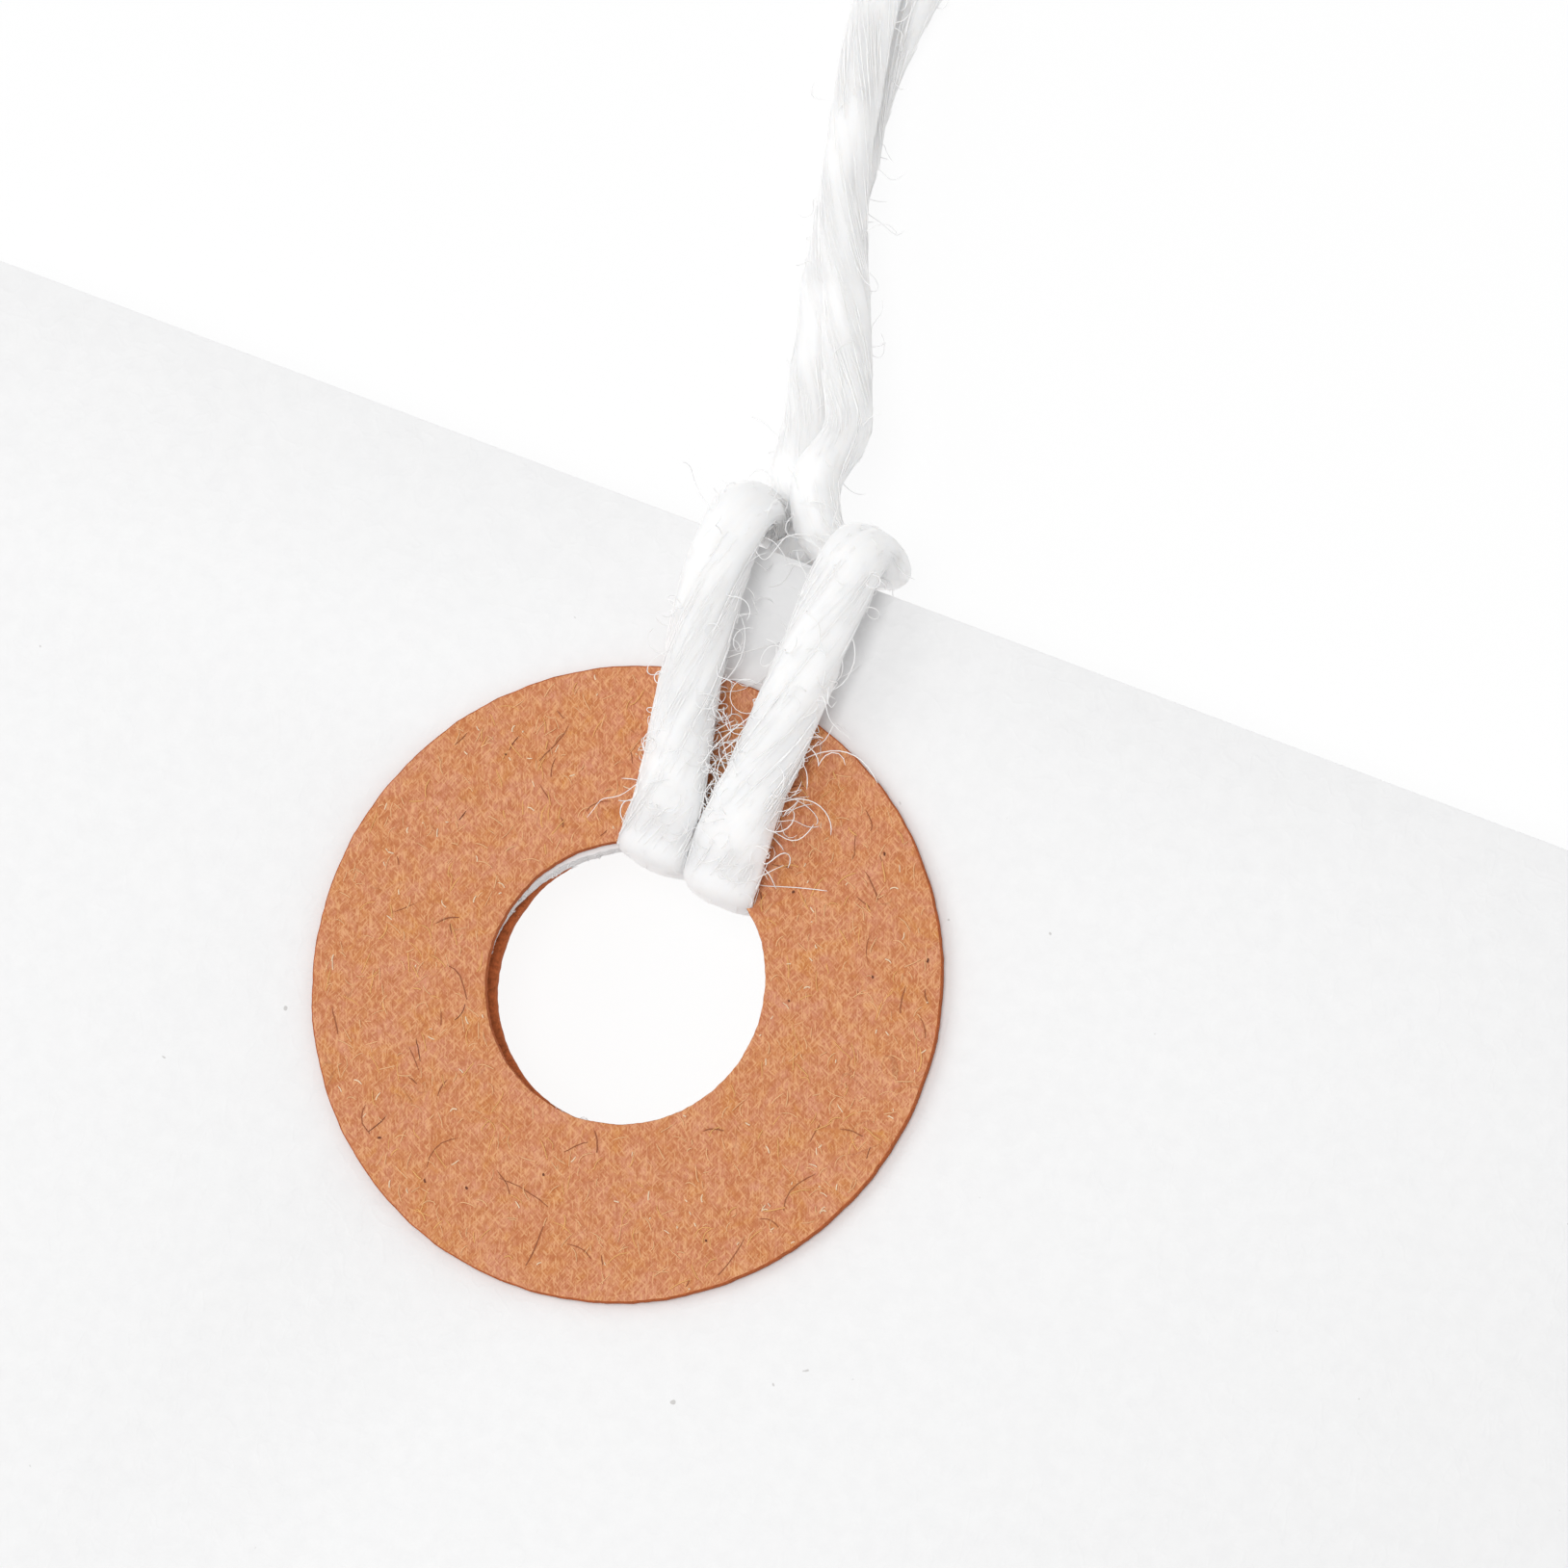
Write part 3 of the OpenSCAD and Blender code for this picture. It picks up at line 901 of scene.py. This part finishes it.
def card_material(colours):
    """Uncoated white card: fine felt grain, a few specks and hardly any shine."""
    material, tree, shader = new_material("uncoated_card")
    coords = object_coords(tree)
    grain = noise_socket(tree, coords, 2400, 6.0, 0.6)
    tone = tint(tree, ramp(tree, grain, 0.35, 0.65), full(colours.card_shade), full(colours.card_white))
    speck = noise_socket(tree, moved(tree, coords, (0.3, 0.1, 0.2)), 3600, 1.0)
    tone = tint(tree, ramp(tree, speck, 0.815, 0.84), tone, (0.6, 0.59, 0.58, 1))
    tree.links.new(tone, shader.inputs["Base Color"])
    felt = fibre_lines(tree, coords, (0.2, 0.4, 0.6), 1600, 0.05, 0.35)
    height = maths(tree, "ADD", noise_socket(tree, coords, 7000, 4.0, 0.6), felt)
    put_bump(tree, shader, height, 0.10, 0.00004)
    give(shader, Roughness=0.82, Specular_IOR_Level=0.25)
    return material


def cut_edge_and_painted_light_material(colours):
    """The card's cut edge: torn layers of white fibre, set whiter than the card's faces as painted light on
    the shaded wall of the hole.
    """
    return grainy(
        "cut_card_edge_and_painted_light",
        colours.edge_white_and_painted_light,
        darker(colours.edge_white_and_painted_light, 0.72),
        (2600, 5.0, 0.65),
        ends=(0.32, 0.62),
        shift=((0.1, 0.2, 0.3), (1, 1, 14)),
        bump=(0.6, 0.00005),
        Roughness=0.95,
        Specular_IOR_Level=0.15,
    )


def patch_material(colours):
    """Brown fibre paper: mottled browns, a grain of short fibres, single long ones and a felted surface."""
    material, tree, shader = new_material("brown_fibre_paper")
    coords = object_coords(tree)
    cloud = noise_socket(tree, coords, 1300, 4.0, 0.6, 0.4)
    tone = tint(tree, ramp(tree, cloud, 0.34, 0.66), full(colours.patch_brown), full(colours.patch_pink))
    gold = noise_socket(tree, moved(tree, coords, (0.5, 0.2, 0.1)), 1700, 3.0, 0.6, 0.8)
    tone = tint(tree, ramp(tree, gold, 0.45, 0.76), tone, full(colours.patch_gold))
    tufts = noise_socket(tree, moved(tree, coords, (0.7, 0.4, 0.2)), 6200, 2.0, 0.6)
    tone = laid_over(tree, tone, ramp(tree, tufts, 0.56, 0.32), 0.55, colours.patch_shade)
    light, shade = 0.0, 0.0
    for turn, scale in PATCH_STROKES:
        laid = moved(tree, coords, (0.3, 0.1, 0.6), (1, 6.0, 1), math.radians(turn), "TEXTURE")
        field = noise_socket(tree, laid, scale, 1.5, 0.55)
        light = maths(tree, "MAXIMUM", light, ramp(tree, field, 0.56, 0.68))
        shade = maths(tree, "MAXIMUM", shade, ramp(tree, field, 0.44, 0.32))
    tone = laid_over(tree, tone, shade, 0.66, colours.patch_shade)
    tone = laid_over(tree, tone, light, 0.58, colours.patch_pale)
    pale = fibre_lines(tree, coords, (0.1, 0.7, 0.3), 1500, 0.016, 0.50)
    tone = laid_over(tree, tone, pale, 0.35, colours.patch_pale)
    dark = fibre_lines(tree, coords, (0.6, 0.5, 0.9), 1100, 0.010, 0.58)
    tone = laid_over(tree, tone, dark, 0.30, colours.patch_dark)
    tree.links.new(tone, shader.inputs["Base Color"])
    height = maths(tree, "ADD", tufts, maths(tree, "SUBTRACT", light, shade))
    put_bump(tree, shader, height, 0.20, 0.00003)
    give(shader, Roughness=0.9, Specular_IOR_Level=0.2)
    return material


def fibre_edge_material(colours):
    """The patch's cut edge and glued face: darker brown, soaked and rough."""
    return grainy(
        "cut_fibre_edge",
        colours.patch_edge,
        darker(colours.patch_edge, 0.55),
        (9000, 4.0, 0.65),
        shift=((0.4, 0.2, 0.3), (1, 1, 6)),
        bump=(0.5, 0.00003),
        Roughness=0.95,
        Specular_IOR_Level=0.15,
    )


def fibre_material(name, rgb):
    """A single loose fibre of the patch, with a shade that changes along it."""
    return grainy(name, rgb, darker(rgb, 0.88), (3000, 2.0), Roughness=0.7, Specular_IOR_Level=0.3)


def glue_material(colours):
    """Dried gum: an amber film with a dull shine."""
    amber = colours.glue_amber
    return grainy("dried_gum", amber, darker(amber, 0.8), (1200, 4.0), bump=(0.2, 0.00002), Roughness=0.5)


def cotton_material(colours):
    """Soft spun cotton: fine lines along each ply, light that sinks in, and a soft sheen."""
    material, tree, shader = new_material("spun_cotton")
    lay = add_node(tree, "ShaderNodeAttribute", {"attribute_name": "fibre_lay"}).outputs["Vector"]
    fine = noise_socket(tree, moved(tree, lay, (0, 0, 0), (9, 9, 900)), 1.0, 4.0, 0.65)
    broad = noise_socket(tree, moved(tree, lay, (7, 3, 0), (3, 3, 500)), 1.0, 2.0, 0.5)
    lines = maths(tree, "ADD", maths(tree, "MULTIPLY", fine, 0.65), maths(tree, "MULTIPLY", broad, 0.35))
    tone = tint(tree, ramp(tree, lines, 0.36, 0.58), full(colours.cotton_shade), full(colours.cotton_white))
    tree.links.new(tone, shader.inputs["Base Color"])
    put_bump(tree, shader, fine, 0.12, 0.00004)
    give(shader, Roughness=0.9, Specular_IOR_Level=0.2, Sheen_Weight=0.6, Sheen_Roughness=0.5)
    give(shader, Subsurface_Weight=1.0, Subsurface_Radius=(1.0, 0.95, 0.9), Subsurface_Scale=0.00045)
    return material


def hair_material(colours):
    """A single cotton hair with a faint sheen."""
    return grainy(
        "cotton_hair",
        colours.cotton_white,
        colours.cotton_shade,
        (4000, 2.0),
        Roughness=0.6,
        Specular_IOR_Level=0.3,
        Sheen_Weight=0.3,
    )


def shared_material(name, make, colours):
    """The material of that name, made on its first use."""
    return bpy.data.materials.get(name) or make(colours)


class TAG_OT_camera(Operator):
    """Stand the camera where the photo was taken from"""

    bl_idname = "tag.camera"
    bl_label = "Camera"

    def execute(self, context):
        view, sizes = context.scene.tag_view, context.scene.tag_sizes
        a, e = view.azimuth, view.elevation
        back = Vector((math.sin(a) * math.cos(e), -math.cos(a) * math.cos(e), math.sin(e)))
        right = Vector((math.cos(a), math.sin(a), 0))
        turned = Matrix((right, back.cross(right), back)).transposed()
        turned = turned @ Matrix.Rotation(view.roll, 3, "Z")
        lie = tag_lie(sizes)
        aim = lie @ Vector((view.aim_x, view.aim_y, face_height(sizes)))
        distance = view.frame_width * view.focal_length / view.sensor
        rotation = lie.to_3x3() @ turned
        camera = added(bpy.ops.object.camera_add, "photo_camera")
        stand = aim + rotation @ Vector((0, 0, distance))
        camera.matrix_world = Matrix.Translation(stand) @ rotation.to_4x4()
        camera.data.lens = view.focal_length
        camera.data.sensor_width = view.sensor
        camera.data.clip_start = distance / 50
        camera.data.clip_end = distance * 100
        context.scene.camera = camera
        return {"FINISHED"}


class TAG_OT_string(Operator):
    """Spin the string: its hitch round the card and its two free strands"""

    bl_idname = "tag.string"
    bl_label = "String"

    def execute(self, context):
        scene = context.scene
        sizes, yarn, colours = scene.tag_sizes, scene.tag_yarn, scene.tag_colours
        rng = random.Random(11)
        room = TagRoom(sizes)
        cotton = shared_material("spun_cotton", cotton_material, colours)
        hair = shared_material("cotton_hair", hair_material, colours)
        spine, first, last = string_spine(sizes, yarn)
        end = len(spine.points) - 1
        stretches = {
            "hitch": spine.cut(first, last),
            "left_strand": spine.cut(0, first),
            "right_strand": spine.cut(last, end),
        }
        for name, part in stretches.items():
            made = yarn_object(f"{name}_yarn", [part], yarn, cotton, random.Random(5))
            fuzz = string_fuzz(name, [part], yarn, room, hair, rng)
            for piece in (made, fuzz):
                if name == "hitch":
                    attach(piece, "tag")
                else:
                    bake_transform(piece)
            if name == "hitch":
                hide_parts("string_hitch")
                continue
            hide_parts(name, "string_neck")
        return {"FINISHED"}


class TAG_OT_knot(Operator):
    """Tie the knot that joins the string's ends, with its two tails"""

    bl_idname = "tag.knot"
    bl_label = "Knot and tails"

    def execute(self, context):
        scene = context.scene
        sizes, yarn, colours = scene.tag_sizes, scene.tag_yarn, scene.tag_colours
        rng = random.Random(23)
        room = TagRoom(sizes)
        cotton = shared_material("spun_cotton", cotton_material, colours)
        hair = shared_material("cotton_hair", hair_material, colours)
        knot = [plain_spine(points, yarn) for points in knot_spines(sizes)]
        tails = [plain_spine(on_floor(sizes, points), yarn) for points in (LEFT_TAIL, RIGHT_TAIL)]
        pieces = (("knot", knot, "string_knot"), ("tails", tails, "string_tails"))
        for name, spines, node in pieces:
            made = yarn_object(f"{name}_yarn", spines, yarn, cotton, rng, frayed=name == "tails")
            fuzz = string_fuzz(name, spines, yarn, room, hair, rng)
            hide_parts(node)
            for piece in (made, fuzz):
                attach(piece, "string")
        return {"FINISHED"}


class TAG_OT_card(Operator):
    """Cut the card, with its corners and its punched hole"""

    bl_idname = "tag.card"
    bl_label = "Card"

    def execute(self, context):
        scene = context.scene
        sizes, colours = scene.tag_sizes, scene.tag_colours
        edge = sizes.hole_to_edge
        middle = (0, edge - sizes.card_length / 2, 0)
        card = added(bpy.ops.mesh.primitive_cube_add, "card_blank", size=1, location=middle)
        card.scale = (sizes.card_width, sizes.card_length, sizes.card_thickness)
        bpy.ops.object.transform_apply(location=True, rotation=True, scale=True)
        start_edges()
        for side in card.data.edges:
            a, b = (card.data.vertices[i].co for i in side.vertices)
            upright = abs(a.z - b.z) > sizes.card_thickness / 2
            side.select = upright and a.y > 0
        in_edit(bpy.ops.mesh.bevel, offset=sizes.corner_cut, segments=1, affect="EDGES")
        punch = self.punch(sizes)
        apply_modifier(card, "BOOLEAN", object=punch, operation="DIFFERENCE", solver="EXACT")
        bpy.data.objects.remove(punch)
        sharp = math.radians(50)
        apply_modifier(card, "BEVEL", width=CARD_BEVEL, segments=2, limit_method="ANGLE", angle_limit=sharp)
        card.data.materials.append(shared_material("uncoated_card", card_material, colours))
        # The cut edge's material: torn white fibre with painted light, whiter than the faces
        card.data.materials.append(shared_material("cut_card_edge_and_painted_light", cut_edge_and_painted_light_material, colours))
        for face in card.data.polygons:
            face.material_index = int(abs(face.normal.z) < 0.5)
        bpy.ops.object.shade_smooth_by_angle(angle=math.radians(35))
        set_down(card, tag_lie(sizes))
        self.fringe(sizes, card.data.materials[1])
        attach(card, "tag")
        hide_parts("card")
        return {"FINISHED"}

    def punch(self, sizes):
        """The punch, with the ragged outline of torn card."""
        punch = added(
            bpy.ops.mesh.primitive_cylinder_add,
            "hole_punch",
            vertices=PUNCH_POINTS,
            radius=sizes.hole_diameter / 2,
            depth=4 * sizes.card_thickness,
        )
        for vertex in punch.data.vertices:
            flat = Vector((vertex.co.x, vertex.co.y, 0)).normalized()
            vertex.co += flat * self.torn(sizes, flat)
        return punch

    def torn(self, sizes, out):
        """How far the card's hole reaches past the patches' hole, in a direction from its middle."""
        a = math.degrees(math.atan2(out.y, out.x)) % 360
        tear = sizes.hole_tear * math.exp(-(((a - TEAR_WAY) / TEAR_WIDTH) ** 2))
        burr = sizes.hole_burr * math.exp(-(((a - BURR_WAY) / BURR_WIDTH) ** 2))
        place = out * sizes.hole_diameter / 2
        rag = noise.noise(place * 9000) * 0.7 + noise.noise(place * 2500) * 0.6
        return tear - burr + HOLE_RAG * rag

    def fringe(self, sizes, edge):
        """Torn fibres of the card that stand off the wall of its hole."""
        rng = random.Random(41)
        lie = tag_lie(sizes)
        lines = []
        for _ in range(FRINGE_FIBRES):
            a = rng.uniform(0, 2 * math.pi)
            out = Vector((math.cos(a), math.sin(a), 0))
            along = Vector((-out.y, out.x, 0)) * rng.choice((-1, 1))
            z = rng.uniform(-0.4, 0.45) * sizes.card_thickness
            point = out * (sizes.hole_diameter / 2 + self.torn(sizes, out)) + Vector((0, 0, z))
            way = along * rng.uniform(0.3, 1.0) - out * rng.uniform(0.15, 0.8)
            way.z = rng.uniform(-0.3, 0.3)
            points = []
            for _ in range(4):
                points.append(lie @ point)
                point = point + way.normalized() * rng.uniform(0.00002, 0.00006)
                way = way + out * 0.25
            lines.append((points, rng.uniform(0.6, 1.3), 0))
        # The torn fibres take the cut edge's material, with its painted light
        made = hair_object("hole_fringe", lines, FRINGE_RADIUS, [edge])
        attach(made, "tag")


class TAG_OT_patches(Operator):
    """Cut the two fibre patches, with their rough rims and felted faces"""

    bl_idname = "tag.patches"
    bl_label = "Fibre patches"

    def execute(self, context):
        scene = context.scene
        sizes, colours = scene.tag_sizes, scene.tag_colours
        paper = shared_material("brown_fibre_paper", patch_material, colours)
        lie = tag_lie(sizes)
        for name, side in (("front", 1), ("back", -1)):
            patch = self.ring(f"{name}_fibre_patch", sizes, side, BACK_OFF if side < 0 else Vector())
            patch.data.materials.append(paper)
            patch.data.materials.append(shared_material("cut_fibre_edge", fibre_edge_material, colours))
            for face in patch.data.polygons:
                # On the outer rim the bevel's gently sloped faces take the darker edge brown too, so a dark
                # line runs all round the patch
                outer_rim = face.center.to_2d().length > sizes.patch_diameter / 2 - RIM_ROOM
                face.material_index = int(face.normal.z < (0.96 if outer_rim else 0.4))
            turn = Matrix.Identity(4) if side > 0 else Matrix.Rotation(math.pi, 4, "X")
            up = Matrix.Translation((0, 0, sizes.card_thickness / 2 + sizes.glue_thickness))
            set_down(patch, lie @ turn @ up)
            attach(patch, "tag")
            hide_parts(f"{name}_patch")
            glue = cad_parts[f"{name}_glue"]
            glue.data.materials.clear()
            glue.data.materials.append(shared_material("dried_gum", glue_material, colours))
        return {"FINISHED"}

    def ring(self, name, sizes, seed, off):
        """A ring of fibre paper that lies on z = 0, with its hole that far off its middle."""
        inner, outer = sizes.hole_diameter / 2, sizes.patch_diameter / 2
        circle = {"vertices": PATCH_POINTS, "radius": inner, "fill_type": "NOTHING"}
        patch = added(bpy.ops.mesh.primitive_circle_add, name, **circle)
        bpy.ops.object.mode_set(mode="EDIT")
        bpy.ops.mesh.select_all(action="SELECT")
        bpy.ops.mesh.extrude_edges_move()
        bpy.ops.transform.resize(value=(outer / inner, outer / inner, 1))
        bpy.ops.object.mode_set(mode="OBJECT")
        start_edges()
        middle = (inner + outer) / 2
        for edge in patch.data.edges:
            a, b = (patch.data.vertices[i].co.length for i in edge.vertices)
            edge.select = min(a, b) < middle < max(a, b)
        in_edit(bpy.ops.mesh.subdivide, number_cuts=PATCH_CUTS)
        for vertex in patch.data.vertices:
            out = vertex.co.length
            near = max(0, 1 - min(out - inner, outer - out) / RIM_RAG_REACH)
            spot = Vector((vertex.co.x, vertex.co.y, seed * 0.01))
            rag = noise.noise(spot * 7000) * 0.5 + noise.noise(spot * 1800) * 0.8
            vertex.co *= 1 + near * RIM_RAG * rag / out
            vertex.co += off * max(0, 1 - (out - inner) / BACK_OFF_REACH)
        apply_modifier(patch, "SOLIDIFY", thickness=sizes.patch_thickness, offset=1)
        in_edit(bpy.ops.mesh.select_all, action="SELECT")
        in_edit(bpy.ops.mesh.normals_make_consistent, inside=False)
        low = min(vertex.co.z for vertex in patch.data.vertices)
        for vertex in patch.data.vertices:
            vertex.co.z -= low
        sharp = math.radians(60)
        apply_modifier(patch, "BEVEL", width=PATCH_BEVEL, segments=2, limit_method="ANGLE", angle_limit=sharp)
        top = sizes.patch_thickness
        for vertex in patch.data.vertices:
            if vertex.co.z > top * 0.8:
                spot = Vector((vertex.co.x, vertex.co.y, seed * 0.01))
                felt = noise.noise(spot * 2600) * 0.6 + noise.noise(spot * 6500) * 0.4
                vertex.co.z += FELT_HEIGHT * (felt - 0.3)
        bpy.ops.object.shade_smooth_by_angle(angle=math.radians(45))
        return patch


class TAG_OT_patch_fibres(Operator):
    """Lay the single fibres that show on the faces of the patches"""

    bl_idname = "tag.patch_fibres"
    bl_label = "Patch fibres"

    def execute(self, context):
        scene = context.scene
        sizes, colours = scene.tag_sizes, scene.tag_colours
        rng = random.Random(37)
        fibres = [
            fibre_material("gold_fibre", (0.80, 0.42, 0.16)),
            fibre_material("pale_fibre", colours.patch_pale),
            fibre_material("dark_fibre", colours.patch_dark),
            fibre_material("bright_fibre", (0.93, 0.72, 0.50)),
            fibre_material("brown_fibre", (0.36, 0.125, 0.055)),
        ]
        lie = tag_lie(sizes)
        for name, side in (("front", 1), ("back", -1)):
            lines = []
            for index, count, short, long, thick in PATCH_FIBRES:
                for _ in range(count):
                    line = self.line(sizes, rng, rng.uniform(short, long))
                    if line:
                        share = thick * rng.uniform(0.7, 1.2)
                        lines.append(([lie @ Vector((x, y, side * z)) for x, y, z in line], share, index))
            made = hair_object(f"{name}_patch_fibres", lines, FIBRE_RADIUS, fibres)
            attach(made, "tag")
        return {"FINISHED"}

    def line(self, sizes, rng, long):
        """A curved fibre on a patch's face, or nothing where it would pass the rim."""
        inner, outer = sizes.hole_diameter / 2 + RIM_ROOM, sizes.patch_diameter / 2 - RIM_ROOM
        out = math.sqrt(rng.uniform(inner**2, outer**2))
        a = rng.uniform(0, 2 * math.pi)
        x, y = out * math.cos(a), out * math.sin(a)
        heading = rng.gauss(GRAIN_WAY, 0.7)
        curl = rng.gauss(0, 0.14)
        height = face_height(sizes) + rng.uniform(-0.000008, 0.000005)
        steps = 5
        points = []
        for i in range(steps + 1):
            bow = 0.000008 * math.sin(math.pi * i / steps)
            points.append((x, y, height + bow))
            heading += curl + rng.gauss(0, 0.12)
            x += long / steps * math.cos(heading)
            y += long / steps * math.sin(heading)
        clear = all(inner < math.hypot(px, py) < outer for px, py, _ in points)
        return points if clear else None


class TAG_OT_stage(Operator):
    """Set the white floor, the even sky and the soft lamps"""

    bl_idname = "tag.stage"
    bl_label = "Stage"

    def execute(self, context):
        scene = context.scene
        view = scene.tag_view
        scene.view_settings.view_transform = "Standard"
        floor = added(bpy.ops.mesh.primitive_plane_add, "white_floor", size=4)
        floor.data.materials.append(self.floor_material())
        self.light_sky(scene, view)
        aim = tag_lie(scene.tag_sizes) @ Vector((0, 0.003, 0))
        self.hang_lamp("left_lamp", aim, Vector((-0.72, -0.12, 0.70)), away=0.4, power=view.key, size=0.22)
        self.hang_lamp("top_lamp", aim, Vector((0.0, -0.08, 0.97)), away=0.6, power=view.top, size=0.25)
        return {"FINISHED"}

    def hang_lamp(self, name, aim, way, away, power, size):
        """A soft square lamp that shines on aim."""
        way = way.normalized()
        lamp = added(bpy.ops.object.light_add, name, type="AREA", location=aim + away * way)
        lamp.rotation_mode = "QUATERNION"
        lamp.rotation_quaternion = way.to_track_quat("Z", "Y")
        lamp.data.energy = power
        lamp.data.size = size

    def seen_rays(self, tree):
        """1 for rays that show the floor or the sky themselves, straight or in a gloss, and 0 for light."""
        path = add_node(tree, "ShaderNodeLightPath")
        seen = maths(tree, "MAXIMUM", path.outputs["Is Camera Ray"], path.outputs["Is Glossy Ray"])
        return maths(tree, "MAXIMUM", seen, path.outputs["Is Transmission Ray"])

    def floor_material(self):
        """A white floor with a faint shadow, clear enough to show a string that hangs below it."""
        material, tree, shader = new_material("white_floor_paper")
        give(shader, Base_Color=(0.9, 0.9, 0.9, 1), Roughness=1.0, Specular_IOR_Level=0.0)
        glow = add_node(tree, "ShaderNodeEmission", Color=(1, 1, 1, 1), Strength=1.0)
        clear = add_node(tree, "ShaderNodeBsdfTransparent", Color=(1, 1, 1, 1))
        white = add_node(tree, "ShaderNodeMixShader", i0=0.10, i1=clear.outputs[0], i2=shader.outputs[0])
        light = add_node(tree, "ShaderNodeMixShader", i0=0.25, i1=glow.outputs[0], i2=shader.outputs[0])
        seen = self.seen_rays(tree)
        both = add_node(tree, "ShaderNodeMixShader", i0=seen, i1=light.outputs[0], i2=white.outputs[0])
        tree.links.new(both.outputs[0], tree.nodes["Material Output"].inputs["Surface"])
        return material

    def light_sky(self, scene, view):
        """An even white sky that shows as white."""
        world = bpy.data.worlds.new("even_sky")
        scene.world = world
        world.use_nodes = True
        tree = world.node_tree
        light = tree.nodes["Background"]
        give(light, Color=(1, 1, 1, 1), Strength=view.sky)
        white = add_node(tree, "ShaderNodeBackground", Color=(1, 1, 1, 1), Strength=1.0)
        seen = self.seen_rays(tree)
        both = add_node(tree, "ShaderNodeMixShader", i0=seen, i1=light.outputs[0], i2=white.outputs[0])
        tree.links.new(both.outputs[0], tree.nodes["World Output"].inputs["Surface"])


STEPS = (
    TAG_OT_camera,
    TAG_OT_string,
    TAG_OT_knot,
    TAG_OT_card,
    TAG_OT_patches,
    TAG_OT_patch_fibres,
    TAG_OT_stage,
)


class VIEW3D_PT_tag(Panel):
    """Lists the steps that make the tag"""

    bl_label = "Strung card tag"
    bl_space_type = "VIEW_3D"
    bl_region_type = "UI"
    bl_category = "Tag"

    def draw(self, context):
        for step in STEPS:
            self.layout.operator(step.bl_idname)


GROUPS = {"tag_sizes": TagSizes, "tag_yarn": TagYarn, "tag_colours": TagColours, "tag_view": TagView}


def register():
    for name, group in GROUPS.items():
        bpy.utils.register_class(group)
        setattr(bpy.types.Scene, name, PointerProperty(type=group))
    for step in (*STEPS, VIEW3D_PT_tag):
        bpy.utils.register_class(step)


def unregister():
    for step in (VIEW3D_PT_tag, *reversed(STEPS)):
        bpy.utils.unregister_class(step)
    for name, group in GROUPS.items():
        delattr(bpy.types.Scene, name)
        bpy.utils.unregister_class(group)


def main():
    register()
    bpy.ops.tag.camera()
    bpy.ops.tag.string()
    bpy.ops.tag.knot()
    bpy.ops.tag.card()
    bpy.ops.tag.patches()
    bpy.ops.tag.patch_fibres()
    bpy.ops.tag.stage()


if __name__ == "__main__":
    main()
